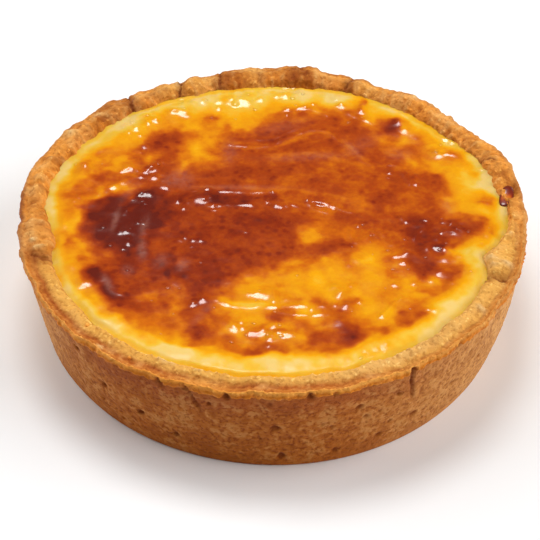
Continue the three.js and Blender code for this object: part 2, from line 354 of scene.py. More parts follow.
# Browned areas of the skin, painted one over the other: browning, softness of the edge, outline
BROWNED_AREAS = (
    (0.43, 5.5, (
        (-42, 4), (-41, 9), (-38, 13), (-36.5, 17), (-33, 18.5), (-30, 19.5), (-28, 23), (-25, 27.5),
        (-21, 29.5), (-17.5, 27.5), (-15.5, 32.5), (-12.5, 34), (-10.5, 31), (-8, 29), (-5, 29.5), (-2, 32),
        (0, 35.5), (8, 37.5), (15, 36.5), (18, 39), (20.5, 36), (21, 32.5), (25, 33), (28.5, 31), (28, 27.5),
        (26.5, 24.5), (29.5, 22), (33, 20.8), (39, 20.5), (36, 18.5), (31.5, 17), (33.5, 14), (37, 11),
        (37, 6), (36, 3), (38, 1), (43, -1.5), (43, -5), (39, -7.5), (36, -10), (36, -16), (35, -20),
        (31, -24), (27.5, -30), (22, -33), (16, -36.5), (10, -39), (3, -38.5), (-4, -39), (-9, -38.5),
        (-14, -37.2), (-19, -35), (-25, -32), (-30, -27.5), (-34.5, -22), (-37.5, -16), (-38.5, -8),
        (-40, -2),
    )),
    (0.55, 5.0, (
        (-36, -12), (-20, -18), (-12, -24), (-9, -31), (-11, -36), (-16, -36), (-25, -31.5), (-31, -26.5),
        (-35.5, -20),
    )),
    (0.67, 5.0, (
        (0, 34), (3, 36), (9, 36.5), (14, 35.5), (18, 34.5), (19.5, 32), (20.5, 29.5), (20, 27), (23, 23),
        (26, 19.5), (27, 16.5), (31, 13.5), (34.5, 11), (34.5, 8), (34, 4), (34.5, 0), (42, -1.5), (41.5, -4),
        (38, -5.5), (35, -7), (34, -11), (31, -14), (28.5, -18), (26, -16), (24, -12), (22, -8), (20, -7),
        (17, -8.5), (15, -10), (10, -12), (5, -13), (0, -14), (-4, -15), (-7, -19), (-11, -22), (-13, -27),
        (-16, -24), (-17, -21), (-19, -19), (-22, -20), (-25, -23), (-23, -27), (-27, -28), (-30, -26),
        (-33, -22), (-35.5, -17), (-35, -13), (-32, -11), (-34, -8), (-38, -4), (-38, 0), (-36, 5),
        (-33, 7.5), (-29, 7), (-27, 11), (-29, 14), (-26, 17), (-24, 20), (-26, 24), (-23, 27.5), (-19, 29),
        (-18, 26), (-19.5, 22), (-19, 18), (-14, 16), (-10, 17), (-11, 22), (-11.5, 26), (-9, 29), (-6, 28),
        (-3, 28.5), (-2, 31),
    )),
    (0.77, 5.0, (
        (-36, 5), (-28, 6), (-24, 10), (-18, 9.5), (-8, 9), (0, 8), (1, 3), (4, 0), (4, -5), (3, -9),
        (-2, -13), (-7, -17), (-11, -20), (-14, -22), (-17, -20), (-22, -17), (-29, -15), (-31, -10),
        (-36, -6), (-38, -1),
    )),
    (0.92, 4.5, (
        (-37, 5), (-33, 7), (-29, 6), (-26, 8.5), (-23, 8), (-23.5, 1), (-25, -3), (-27, -8), (-31, -6.5),
        (-34, -5), (-36.5, -3), (-38, 0), (-36.5, 2),
    )),
    (0.95, 3.2, (
        (-35.5, -16), (-33, -14.5), (-31, -17), (-30, -21), (-28.5, -25), (-31, -24), (-33, -20.5),
        (-35, -18.5),
    )),
    (0.9, 1.8, ((-18, 8), (-9, 8), (0, 7.8), (1, 4.8), (-8, 4.6), (-17, 4.6))),
    (0.79, 3.6, (
        (27, 1), (31, 1), (33, -3), (36, -2), (41, -2.5), (40, -4.5), (35, -6), (34, -10), (31.5, -13.5),
        (29, -17), (27.5, -14), (27, -8), (25, -2),
    )),
    (0.37, 4.0, (
        (-8, -24), (0, -23.5), (8, -24), (16, -23.5), (22, -24), (20, -28), (14, -31), (8, -30.5), (3, -32),
        (-3, -31), (-8, -31),
    )),
    (0.32, 6.5, (
        (-8, -21), (-5, -18.5), (0, -16), (8, -13.5), (13, -11.5), (20, -10.3), (23, -12.5), (25.5, -17),
        (25, -21), (20, -23.5), (14, -22.5), (8, -23), (0, -22.8),
    )),
)

# Single spots of the skin, painted over the areas: x, y, half length, half width, heading, browning
BROWNED_SPOTS = (
    (25, 29.5, 2.2, 2.2, 0, 0.8), (-13.6, 31.5, 2.2, 2.8, 0, 0.54), (-22, 23.5, 4, 3, 75, 0.7),
    (8, -34.5, 1.6, 2, 0, 0.64), (13.7, -34, 2.6, 2.8, 0, 0.86), (-14, -32.5, 2.2, 1.8, 0, 0.7),
    (-13, -36, 3.5, 1, 0, 0.6), (2, -28, 2.8, 1.8, 0, 0.7), (-1, -37.8, 5, 1, 0, 0.62),
    (24, -28.5, 2.4, 1.8, 0, 0.62), (27, -25, 2.8, 2, 20, 0.58), (-20, -30.5, 1.8, 1.6, 0, 0.64),
    (-32.5, 13.2, 4, 1.8, 15, 0.63), (-39, 9, 3, 1.5, 70, 0.56), (-41, 4, 5, 1.4, 95, 0.48),
    (-28, 20.5, 2, 1.3, 0, 0.58), (8, -24.5, 1.3, 1.3, 0, 0.5), (-4, -24.5, 5, 1.2, -4, 0.2),
    (14.5, -25, 1.6, 1.5, 0, 0.54), (-9, -29, 3, 1.4, 0, 0.57), (42.5, 4.5, 2.4, 2.6, 0, 0.46),
    (19, 37.5, 1, 2, 0, 0.6), (33, -9.5, 1.5, 2, 0, 0.92), (7.5, -5, 2.2, 2.8, 0, 0.36),
    (-34, -11.5, 4.5, 2.2, -10, 0.47), (-35.4, -0.4, 1.6, 1.1, 40, 1.0),
    (-33.6, 2.2, 2.2, 1.2, 50, 1.0), (-30, -4, 1.6, 1.6, 60, 1.05), (-27, 5.4, 2.2, 0.9, 50, 1.0),
    (-25.3, 2.6, 1.6, 0.8, 70, 0.98), (-33, -16.6, 1.3, 1.3, 0, 1.05), (-32.2, -19, 1.6, 1, 100, 1.0),
    (-20.6, -16, 3, 0.6, 118, 0.95), (-14, 22, 3.2, 4, 0, 0.37), (-18, 17, 2.4, 1.5, 20, 0.46),
    (-23.5, -23, 2.6, 1.6, 10, 0.4), (-18.5, -26.5, 4, 1.5, 80, 0.38), (8, -18, 2, 3.4, 0, 0.19),
    (2, -17.5, 3, 1.6, 0, 0.23), (14, 13, 7, 3, -10, 0.58), (8, 23, 5, 3, 15, 0.7),
    (24, 14, 3, 3, 0, 0.7),
)

# Places baked darker or paler than their surroundings: x, y, half width, change of browning
BAKING_SHIFTS = (
    (-30, -5, 4, 0.4), (-24, 0, 3.5, 0.28), (-30, 0, 3, 0.18), (-36, 12, 3.5, 0.11),
    (-24, -24, 3.5, 0.14), (-18, 22, 4, 0.08), (30, 23, 4, 0.18), (12, -12, 4, 0.1), (24, -15, 4, 0.1),
    (12, -28, 4, 0.26), (-12, -32, 4.5, 0.09), (-6, -36, 3, 0.08), (0, -30, 3, 0.09),
    (36, -18, 3.5, 0.2), (-42, -6, 3, 0.08), (6, 36, 4, -0.2), (13, 36, 4, -0.18),
    (19, 35.5, 3.5, -0.16), (-12, 36.5, 4, -0.14), (-6, 36.5, 3.5, -0.1), (24, 36, 3, -0.1),
    (-31, 30, 4, -0.13), (-18, 36.5, 3, -0.08), (42, 0, 3.5, -0.15), (36, 6, 4, -0.1),
    (-42, 3, 4, -0.09), (-36, 5, 3, -0.06), (24, -25, 4, -0.13), (23, -30, 3, -0.08),
    (-4, -24, 5, -0.11), (-6, -30, 3, -0.09), (0, -36, 3, -0.06), (-18, -37, 3, -0.2),
    (-31, -31, 4, -0.1), (-36, -19, 3, -0.09), (6, 3, 9, -0.06), (18, 1, 6, -0.07), (27, 6, 4, -0.07),
    (0, -11, 3, -0.09), (-9, 12, 5, 0.1), (10, 12, 4, 0.08), (0, -18, 3, 0.1), (-3, 6, 4, -0.06),
    (-18, -14, 5, 0.07), (-10.4, 38.6, 3, 0.14), (29, 29, 4, 0.06), (21, 36.4, 3, 0.12),
    (34.6, 20, 3, 0.02), (41.5, 11, 3.5, -0.25), (31, -31, 2.2, -0.14), (28, -28, 2.2, 0.15),
    (10.4, -38.6, 2.5, 0.12), (20, -34.6, 2.5, 0.1), (-34.6, -20, 2.5, 0.04), (-34.6, 20, 2.5, 0.12),
    (-30, 30, 2.5, -0.1), (-41, 11, 3, -0.1), (0, 42.2, 2.5, -0.1), (36.5, -21, 2.5, -0.06),
    (-43, -6, 3, 0.16), (-40, -17, 3, 0.1), (-20, 34.6, 3, 0.03),
)

# Width of the pale ring at the case: the least, then angle, spread and extra width
LEAST_RING = 2.4
WIDER_RINGS = ((-85, 50, 2.4), (15, 35, 1.4), (95, 30, 2.6), (-20, 15, 1.0))

# Stretches of that ring that are yellow rather than cream: angle, spread, browning
YELLOWER_RINGS = (
    (172, 40, 0.16), (105, 32, 0.05), (120, 12, 0.06), (48, 25, 0.08), (5, 24, 0.2), (26, 14, 0.08),
    (-40, 20, 0.04), (-140, 26, 0.1), (-168, 20, 0.08),
)
PILLOW_SIZE = 3.2

# Pale, milky film on the brown skin, and painted sheen where its folds mirror the softboxes: x, y, half
# length, half width, heading, strength
FILMS_AND_SHEEN = (
    (-25.4, -9.6, 2.8, 0.9, 94, 0.7), (-25.3, -2.6, 2.8, 0.8, 80, 0.5),
    (-31.1, -0.6, 3.2, 0.6, 82, 0.65), (-29, 8, 4, 1.0, 60, 0.3), (-21.5, -12.8, 2, 1.3, 75, 0.4),
    (-17.3, -14, 1.7, 1.1, 75, 0.6), (-27.8, -15.6, 1.6, 1.1, 100, 0.45),
    (-31.2, -19.8, 2.6, 0.8, 112, 0.65), (-20, 12.4, 3, 1.8, 60, 0.5), (-17.5, 12, 1.6, 2.2, 0, 0.3),
    (-8, 9.6, 9, 0.8, 0, 0.35), (7, 19.6, 8, 1.3, 3, 0.3), (-9, 21, 1.6, 4, 0, 0.3),
    (26, 20.5, 2.5, 2, 0, 0.3), (19, 24, 4, 2, 45, 0.2), (2, 30, 6, 2, 20, 0.2),
    (16.5, 22, 3, 0.8, -60, 0.4), (-13, -27.5, 4, 0.8, 60, 0.3), (35, 3.5, 1.2, 2.4, 0, 0.3),
)

# Faint pale lines over the skin, painted highlights along its folds: strength and points along the line
FOLD_HIGHLIGHT_LINES = (
    (0.4, ((-10, 23), (-5, 22.5), (0, 23.5), (4, 25.5), (8, 27.8), (12, 27), (15, 24), (18, 20), (21, 16))),
    (0.3, ((-10, 25), (-4, 24), (2, 24.5), (7, 26))),
    (0.3, ((0, 20.5), (6, 20.8), (12, 19), (18, 17))),
    (0.4, ((-17, 9.8), (-8, 9.6), (0, 9.4), (8, 8), (14, 6))),
    (0.3, ((-18, 13), (-10, 12.8), (-2, 11.5))),
    (0.25, ((-26, 7), (-24, 10), (-20, 13), (-18, 18))),
    (0.25, ((-24, 1), (-22, 6), (-19, 9))),
    (0.2, ((-16, -28), (-13, -26), (-11.5, -24))),
)

# Streaked, drawn-up skin: x, y, reach, heading, strength
SKIN_STREAKS = (
    (-29, 8, 9, 62, 1.0), (-31, -4, 8, 82, 0.8), (-22, -14, 11, 106, 0.8), (-14, -27, 8, 115, 0.7),
    (-27, 18, 7, 40, 0.6), (-2, 27, 9, 25, 0.35), (10, 18, 12, -12, 0.35), (22, -24, 9, 60, 0.5),
    (3, -30, 9, 170, 0.4),
)

# How far in front of a hill's middle it shines, in half widths
SHINE_BEFORE = 0.7

# The steepest rise of a fold or blister for its half width that still shines all over
STEEPEST_SHINE = 0.37

# Folds of the skin: points along the line that shines, rise (below zero is a ditch), half width
SKIN_FOLDS = (
    (((-16, 8.3), (-9, 8.2), (0.2, 8.2)), 0.12, 0.36),
    (((-20, 6.6), (-12, 6.2), (0, 6.2)), -0.12, 1.2),
    (((-12.4, 3.6), (-10.4, 3.5)), 0.16, 0.5),
    (((-9, 3.5), (-4.8, 3.5)), 0.21, 0.6),
    (((-6.6, 4.8), (-3.8, 4.6), (-0.4, 4.6)), 0.14, 0.6),
    (((0.2, 8.2), (1.4, 5.3), (3.8, 3.9), (5.4, 2.3)), 0.18, 0.5),
    (((0.8, 3.3), (2.8, 3.3)), 0.21, 0.6),
    (((6.7, 5.5), (8.2, 2.7), (11.1, 1.6)), 0.16, 0.45),
    (((6.8, 5.6), (11, 4), (15.5, 2)), 0.15, 0.42),
    (((9, 3.4), (12, 2.2)), -0.25, 0.8),
    (((-9.5, 23.2), (-3, 22.6), (2, 25), (8, 28.4), (12, 27), (16, 21.5), (20, 16.5)), 0.16, 0.5),
    (((-8, 25), (0, 26), (5, 29.5)), 0.098, 0.5),
    (((0, 20.5), (8, 20.5), (14, 18)), 0.098, 0.8),
    (((-26, 17), (-22, 11), (-27, 6), (-29.5, 0), (-29, -5)), 0.2, 0.9),
    (((-20, 12), (-24, 6), (-26, -1), (-25, -11)), 0.15, 1.1),
    (((-35, 7), (-29, 11.5), (-24, 16)), 0.25, 0.9),
    (((-31, 14.5), (-29, 15.5), (-27, 14)), 0.29, 0.5),
    (((-19, -8), (-18, -14), (-15, -20)), 0.1, 0.9),
    (((-33, -15), (-31, -20), (-29, -23)), 0.14, 1.0),
    (((15, -4.6), (15.8, -7.8)), 0.2, 0.5),
    (((16.4, -8), (18, -7)), 0.25, 0.6),
    (((18.4, -6.4), (19.4, -5.6), (20.6, -6.6)), 0.27, 0.7),
    (((17, -3), (18, -2)), 0.18, 0.5),
    (((20.8, -4.4), (21.8, -6)), 0.2, 0.5),
    (((23.4, -8.6), (23.8, -11.6)), 0.24, 0.6),
    (((25.4, -0.4), (26.4, -1.8)), 0.3, 0.6),
    (((27.4, -6.6), (29.4, -5)), 0.36, 0.9),
    (((29, -8.4), (31.6, -10)), 0.26, 0.6),
    (((33.4, -6), (34.4, -5.4), (36.8, -4.4)), 0.36, 0.8),
    (((34, -4.4), (35.4, -2.4)), 0.2, 0.5),
    (((20.8, -28.8), (22.6, -26.4)), 0.2, 0.5),
    (((24, 17), (26, 16), (27.5, 11), (29.5, 10)), 0.25, 0.6),
    (((16, 34), (18, 32.5), (21, 30.5)), 0.33, 0.6),
    (((2, 35.2), (7, 35.8), (12, 33.2)), 0.29, 0.6),
    (((-10.3, -24.6), (-8, -25.8), (-4.3, -26), (-1.5, -25.4)), 0.14, 0.45),
    (((-10.6, -24.2), (-8.6, -25)), 0.26, 0.75),
    (((-4.1, -22.8), (-1.5, -22.8), (0.6, -23.2)), 0.42, 1.2),
    (((0.2, -24.3), (2.3, -24.2)), 0.32, 0.9),
    (((-1.1, -26.2), (0.4, -26.5)), 0.24, 0.7),
    (((0.8, -25.8), (6.7, -25.7)), 0.14, 0.42),
    (((0.9, -27.4), (5.8, -27.9)), 0.13, 0.4),
    (((7.1, -26.6), (9.7, -26.4)), 0.22, 0.65),
    (((7.3, -28.3), (10.2, -28.2)), 0.18, 0.5),
    (((-4.2, -33.2), (-1.5, -32.3)), 0.3, 0.85),
    (((0.6, -34.2), (3.6, -33.5)), 0.3, 0.85),
    (((20, -29), (22.5, -26), (25, -24)), 0.25, 0.5),
    (((37, 21), (34, 20.4), (38, 19)), 0.25, 0.7),
)

# Blisters on the skin: x and y of the place that shines, half width, rise
BLISTERS = (
    (-29, 34.3, 2.4, 0.83), (-27.3, 32.8, 1.5, 0.54), (-24, 35, 1.2, 0.41), (-25.5, 31.6, 1.1, 0.35),
    (-31, 29.2, 1.4, 0.41), (-28.6, 28.2, 1.1, 0.41), (-18.6, 33.6, 1.5, 0.47), (-17, 37.2, 1.4, 0.47),
    (-11.5, 38, 1.5, 0.47), (-8.5, 41, 1.6, 0.47), (-6, 37.8, 2, 0.71), (-7.6, 38.6, 1.1, 0.41),
    (-12, 42.6, 1.2, 0.35), (-4, 42.6, 1.2, 0.35), (2.5, 40, 1.1, 0.41), (6.5, 42.4, 1.4, 0.47),
    (13.8, 38.8, 1.4, 0.41), (3.2, 35.4, 1.1, 0.47), (6.8, 36, 1.1, 0.54), (19, 34.6, 1.1, 0.54),
    (26.9, 29.8, 1.7, 0.36), (-1.2, 4.5, 0.8, 0.22), (0.8, 3.6, 0.8, 0.22), (38, 19.6, 1.6, 0.38),
    (34.5, 19, 1.1, 0.33), (43, 3.4, 1.1, 0.33), (28.2, 11.7, 0.9, 0.38), (29.2, 10, 0.7, 0.28),
    (24.2, 14, 0.8, 0.28), (-26.8, 22.7, 1.4, 0.43), (-30, 15.3, 1.4, 0.33), (-24.4, 12.2, 1.2, 0.47),
    (-24, 15.7, 1.2, 0.33), (-38.8, 18, 1.2, 0.28), (-38.6, 15.6, 0.9, 0.24), (-39, 5.2, 0.9, 0.24),
    (-14.2, 4.9, 2.2, 0.8), (-12.4, 5.4, 1.1, 0.36), (-11.6, 3.6, 0.8, 0.27), (-19.1, 5.2, 1.2, 0.4),
    (-16.8, 4.1, 1.2, 0.4), (-15.6, -7.1, 0.9, 0.32), (-17.4, -6.2, 0.7, 0.22), (-5.3, -4.4, 0.5, 0.17),
    (-28.2, -8.0, 0.8, 0.28), (-30.2, -4.4, 0.6, 0.2), (-29.0, 1.8, 0.8, 0.27),
    (-26.8, -2.5, 0.8, 0.27), (-26.2, 4.6, 0.8, 0.27), (-25.3, 6.8, 1.0, 0.33), (-21.2, 9.3, 0.7, 0.24),
    (-13.4, -24.3, 1.4, 0.48), (-7.1, -31.8, 1.4, 0.5), (-0.6, -35, 1.0, 0.36), (0.1, -31.5, 1.0, 0.36),
    (12.9, -22.8, 1.8, 0.62), (14, -26.3, 1.6, 0.56), (23, -19.8, 0.9, 0.28), (27, -19.6, 1.1, 0.28),
    (33.6, -13.4, 1.8, 0.38), (32.3, -17.4, 1.6, 0.33), (16, -13.4, 1.1, 0.24), (29.3, -3.6, 1.5, 0.55),
    (32.3, -7.8, 1.4, 0.5), (35.7, -2.2, 1.4, 0.5), (42, -6.8, 1.1, 0.33), (26, -11.8, 1.5, 0.54),
    (29.8, -10.3, 1.1, 0.4), (34.4, -11.2, 1.3, 0.46), (30.4, -27.6, 0.8, 0.24),
    (-32, -30.6, 1.6, 0.28), (15.4, -38.6, 0.5, 0.13), (17, -37.9, 0.5, 0.12), (18.6, -37.4, 0.5, 0.13),
    (21, -36.2, 0.5, 0.12), (22.6, -35.2, 0.5, 0.13), (-36, 3, 3, 0.33), (-33, -18, 2.4, 0.33),
    (14, -34, 2.8, 0.33),
)

# Smaller bubbles round each blister: how many, how far off, how large, and the draw for them
SATELLITES = 2
SATELLITE_REACH = (1.2, 1.9)
SATELLITE_SIZE = (0.35, 0.6)
BLISTER_SEED = 19

# Where small beads of glaze gather: x, y, half width, strength
BEADED_PLACES = (
    (-29, 33, 5, 1.0), (-19, 35.5, 5, 0.9), (-7, 39.5, 6, 1.0), (6, 41, 4, 0.7), (18, 33, 4, 0.8),
    (-38, 17, 4, 0.8), (-30, 27, 3, 0.7), (20, -6.5, 4, 1.0), (25, -13, 4, 1.0), (30, -8, 4, 0.9),
    (35, -5, 4, 0.7), (33, -16, 4, 0.6), (22, -24, 5, 0.5), (14, -28, 5, 0.5), (0, -33.5, 6, 0.8),
    (-2, -25, 7, 0.6), (19, -38, 5, 0.25), (36, 20, 4, 0.6), (41, -4, 3, 0.5), (-24, 12, 5, 0.7),
    (-30, -5, 4, 0.5), (-22, -20, 8, 0.25),
)

# The back of the skin begins farther forward at its sides: bend, and where the back begins and is whole
SKIN_BACK_BEND = 0.5
SKIN_BACK = (-12, 8)

# Rolling ground that bends the outlines of the browned skin, its folds and the painted highlights along them
WANDER_ACROSS = ((0.9, 6, 21), (0.5, 2.4, 22), (0.2, 1.1, 26))
WANDER_ALONG = ((0.9, 6, 23), (0.5, 2.4, 24), (0.2, 1.1, 27))
FOLD_BEND_ACROSS = (0.5, 3, 33)
FOLD_BEND_ALONG = (0.5, 3, 34)
LINE_BEND_ACROSS = (0.6, 4, 37)
LINE_BEND_ALONG = (0.6, 4, 38)

# Browning of the pale ring and of the bare custard inside it, and the yellower tint and painted contact shade
# where the skin touches the pastry
RING_WANDER = (0.9, 5, 25)
RING_BROWNING = 0.06
# The second layer follows the pillows: painted light on their tops and painted shade in the hollows between
# them
RING_MOTTLE_AND_PILLOW_SHADE = ((0.07, 1.5, 28), (-0.09, PILLOW_SIZE, 29))
RING_INSIDE = (0.7, 1.9)
BARE_BROWNING = 0.3
FRONT_EDGE_TINT_AND_SHADE = 0.19
PALER_FRONT_EDGE = (-50, 16)
BACK_EDGE_TINT_AND_SHADE = 0.17

# Browned outlines are crisper towards the front: share of their softness there, and where it is reached
FRONT_CRISPNESS = 0.55
CRISP_FRONT = (20, 33)

# Mottling of the browned skin as rolling ground, and the browning at which some of it shows
SKIN_MOTTLE = ((0.06, 5.5, 41), (0.06, 2.6, 42))
FINE_MOTTLE = (0.03, 1.2, 43)
HALF_BROWNED_MOTTLE = (0.14, 3.1, 44)
DRAWN_MOTTLE = (0.1, 1.6, 45)
HALF_BROWNED = 0.42
HALF_BROWNED_SPREAD = 0.14
DARK_MOTTLE = (0.17, 1.9, 46)
DARK_BROWNING = (0.74, 0.9)
MOTTLED_BROWNING = (0.15, 0.45)
MOST_BROWNING = 1.05
STREAK_PALENESS = 0.12
# Paleness and width of the painted fold highlights
FOLD_HIGHLIGHT_PALENESS = 0.22
FOLD_HIGHLIGHT_WIDTH = 0.6

# Drawn-up skin: bend of its ridges, their length and width, and the first draws for both
STREAK_BEND = (0.9, 6)
STREAK_LENGTH = 7
STREAK_WIDTH = 1.3
STREAK_BEND_DRAW = 70
STREAK_DRAW = 60

# Relief of the skin: rolling ground, insets and half widths of the bands at its edge, and heights
SKIN_SWELLS = ((0.16, 11, 31), (0.1, 6, 32))
SKIN_LUMPS = (1.0, 2.3, 35)
LUMPS_RISE = (0.04, 0.12)
EDGE_LUMPS = (1.0, 2.4, 36)
EDGE_LUMPS_RISE = (0.04, 0.2)
EDGE_LUMPS_BAND = (2, 2.6)
PILLOWS = (0.14, PILLOW_SIZE, 29)
PILLOW_BAND = (2.5, 3)
PUFF_BAND = (3.5, 3)
BROWNED_RISE = 0.05
STREAK_RISE = 0.06
FOLD_BREAKS = (0.5, 1.4, 39)
FOLD_WHOLENESS = 0.8
BLISTER_SHARE = 0.8

# Milky film and painted sheen along the drawn-up skin, and the glaze on skin that isn't browned
STREAK_SHEEN = 0.12
LEAST_GLAZE = 0.2

# Fades of the custard: share of its radius, insets from its edge, sine of its angle, and traits of its skin
UNEVEN_REACH = (0.7, 1.0)
RELIEF_INSET = (0, 1.5)
CLIMB_INSET = (0, 1.6)
BEADED_INSET = (0.8, 2)
WRINKLED_INSET = (1, 5)
RIPPLED_INSET = (0.3, 1.5)
CLIMB_TURN = (-0.5, 0.6)
RISEN_BROWNING = (0.4, 0.7)
SHEEN_BROWNING = (0.6, 0.85)
SHEEN_RIDGES = (0.2, 0.8)
GLAZED_BROWNING = (0.08, 0.34)
GLAZED_BEADING = (0.2, 0.6)
WRINKLED_BROWNING = (0.15, 0.5)

# Pits, beads, crumbs and wrinkles: most to a square metre, share of the smallest, shapes, waves to a metre
MOST_PITS = 36000.0
LEAST_PIT = 0.4
SMALL_PITS = 1.6
PIT_BOTTOM = 0.25
PIT_EDGE_WAVES = 1500.0
CRUMB_LEVEL = 0.45
MOST_BEADS = 90000.0
LEAST_BEAD = 0.3
BEAD_WIDTH = 0.75
BEAD_HEIGHT = 0.2
MOST_CRUMBS = 1500.0
LEAST_CRUMB = 0.4
CRUMB_WAVES = 1800.0
ANY_TURN = (6.28, 6.28, 6.28)
SKIN_DISTORTION = 0.6

# Mottling of the finishes: sizes and depths in metres, and the shades of dark flecks, specks and gaps, the
# last painted shade between crumbs
BLOTCH_SIZE = 0.006
FLECK_SIZE = 0.0014
GRAIN_SIZE = 0.0007
SKIN_PATCH_SIZE = 0.0036
SKIN_SPECK_SIZE = 0.0009
SKIN_DOT_SPACING = 0.0021
SHEEN_STREAK_SIZE = 0.0016
FLECK_SHADE = (0.84, 0.77, 0.7, 1)
SPECK_SHADE = (0.74, 0.64, 0.54, 1)
GAP_SHADE = (0.8, 0.66, 0.52, 1)
CRUST_BUMP = 0.0004
CRUMB_BUMP = 0.0001
SKIN_BUMP = 0.00003

# How far the custard is browned at each colour of its skin
BROWNING_STOPS = (
    (0.0, "cream"),
    (0.1, "pale"),
    (0.22, "yellow"),
    (0.36, "amber"),
    (0.5, "orange"),
    (0.65, "brown"),
    (0.8, "dark"),
    (1.0, "burnt"),
)


def hill(distance, reach):
    """A smooth hill, 1 at no distance and nearly gone at twice the reach."""
    return np.exp(-((distance / reach) ** 2))


def smooth(value, low, high):
    """An even step from 0 at low to 1 at high."""
    share = np.clip((value - low) / (high - low), 0, 1)
    return share * share * (3 - 2 * share)


def mix(first, second, share):
    """A share of the way from one value to another."""
    return first + (second - first) * share


def turn_from(angle, at):
    """The turn from one angle to another, the short way round."""
    return (angle - at + 180) % 360 - 180


def near(angle, at, spread):
    """A hill round an angle."""
    return hill(turn_from(angle, at), spread)


def around(angle, radius):
    """x and y of places given by their angle and radius."""
    return radius * np.cos(np.radians(angle)), radius * np.sin(np.radians(angle))


def linear(colour):
    """A screen colour as the renderer's own linear one."""
    return tuple(c / 12.92 if c <= 0.04045 else ((c + 0.055) / 1.055) ** 2.4 for c in colour)


def ragged(angle, fewest, most, seed):
    """An uneven line round the tart, mostly between -1 and 1, that closes on itself."""
    waves = 12
    draw = np.random.default_rng(seed)
    counts = draw.integers(fewest, most, waves)
    starts = draw.uniform(0, 360, waves)
    return np.sin(np.radians(np.multiply.outer(angle, counts) + starts)).sum(axis=-1) / math.sqrt(waves)


def wobble(angle, waves):
    """An uneven line round the tart, as high as its waves."""
    height, *draw = waves
    return height * ragged(angle, *draw)


def rolling(x, y, size, seed):
    """Rolling ground between -1 and 1, one hill or hollow to each size."""
    cells = 64
    heights = np.random.default_rng(seed).uniform(-1, 1, (cells, cells))
    column, row = np.floor(x / size), np.floor(y / size)
    across = smooth(x / size - column, 0, 1)
    along = smooth(y / size - row, 0, 1)
    left, low = column.astype(int) % cells, row.astype(int) % cells
    right, high = (left + 1) % cells, (low + 1) % cells
    near = mix(heights[low, left], heights[low, right], across)
    far = mix(heights[high, left], heights[high, right], across)
    return mix(near, far, along)


def ground(x, y, *layers):
    """Rolling ground of one or more layers."""
    return sum(height * rolling(x, y, size, seed) for height, size, seed in layers)


def sum_round(places, angle, amount):
    """Adds up one amount of a list of places round the rim."""
    return sum(place[amount] * near(angle, place[0], place[1]) for place in places)


def sum_places(x, y, places):
    """Adds up round hills: x, y, half width and amount of each."""
    return sum(amount * hill(np.hypot(x - at_x, y - at_y), width) for at_x, at_y, width, amount in places)


def ripple(angle):
    """Even ripples round the rim."""
    return sum(tall * np.sin(np.radians(count * angle + start)) for count, tall, start in RIM_RIPPLES)


def edge_shift(angle):
    """How far the case's inner edge, and the custard against it, lies outside the true circle."""
    swelling = sum_round(RIM_SWELLS, angle, 3) - sum_round(RIDGE_BULGES, angle, 2)
    return swelling + wobble(angle, EDGE_WOBBLE) + wobble(angle, EDGE_CRUMBLE) * (1 - frontness(angle))


def rim_share(height):
    """How much of the rim's unevenness a height has, from 0 to 1."""
    return smooth(height, EVEN_BELOW, UNEVEN_ABOVE)


def frontness(angle):
    """1 along the front, where the rim keeps its pressed groove, and 0 round the back."""
    return 1 - smooth(np.abs(turn_from(angle, FRONT_MIDDLE)), *FRONT_FADE)


def backness(x, y):
    """1 over the back of the skin and 0 over its front, which reaches farther back in the middle."""
    return smooth(y + SKIN_BACK_BEND * np.abs(x), *SKIN_BACK)


def along_and_across(x, y, middle_x, middle_y, heading):
    """How far along and across a heading every place lies from a middle."""
    turn = math.radians(heading)
    along = (x - middle_x) * math.cos(turn) + (y - middle_y) * math.sin(turn)
    across = (y - middle_y) * math.cos(turn) - (x - middle_x) * math.sin(turn)
    return along, across


def patch(x, y, place):
    """An oval hill with a flat top at one place: x, y, half length, half width, heading."""
    middle_x, middle_y, long, wide, heading = place
    along, across = along_and_across(x, y, middle_x, middle_y, heading)
    return np.exp(-(((along / long) ** 2 + (across / wide) ** 2) ** PATCH_FLATNESS))


def curve_points(points, count):
    """Points along a smooth curve through the given ones."""
    knots = np.array([points[0], *points, points[-1]], float)
    pieces = len(points) - 1
    travel = np.linspace(0, pieces, count)
    first = np.minimum(travel.astype(int), pieces - 1)
    t = (travel - first)[:, None]
    a, b, c, d = (knots[first + step] for step in range(4))
    bend = 2 * a - 5 * b + 4 * c - d
    twist = 3 * b - a - 3 * c + d
    return 0.5 * (2 * b + (c - a) * t + bend * t**2 + twist * t**3)


def curve_through(points):
    """A smooth curve through a few points, with several points to each of them."""
    return curve_points(points, POINTS_TO_A_KNOT * len(points))


def distance_to_line(x, y, points):
    """Distance from every place to a line of points."""
    nearest = np.full(x.shape, np.inf)
    for (ax, ay), (bx, by) in zip(points[:-1], points[1:]):
        length = max((bx - ax) ** 2 + (by - ay) ** 2, 1e-9)
        share = np.clip(((x - ax) * (bx - ax) + (y - ay) * (by - ay)) / length, 0, 1)
        away = np.hypot(x - ax - share * (bx - ax), y - ay - share * (by - ay))
        nearest = np.minimum(nearest, away)
    return nearest


def tube_faces(rings, sides):
    """Faces of a tube of rings, closed at its ends by the two points that follow its own."""
    side = np.arange(sides)
    after = (side + 1) % sides
    faces = []
    for ring in range(rings - 1):
        low, high = ring * sides, (ring + 1) * sides
        faces += np.stack([low + side, low + after, high + after, high + side], 1).tolist()
    start, end, last = rings * sides, rings * sides + 1, (rings - 1) * sides
    faces += [(start, int(b), int(a)) for a, b in zip(side, after)]
    faces += [(end, last + int(a), last + int(b)) for a, b in zip(side, after)]
    return faces


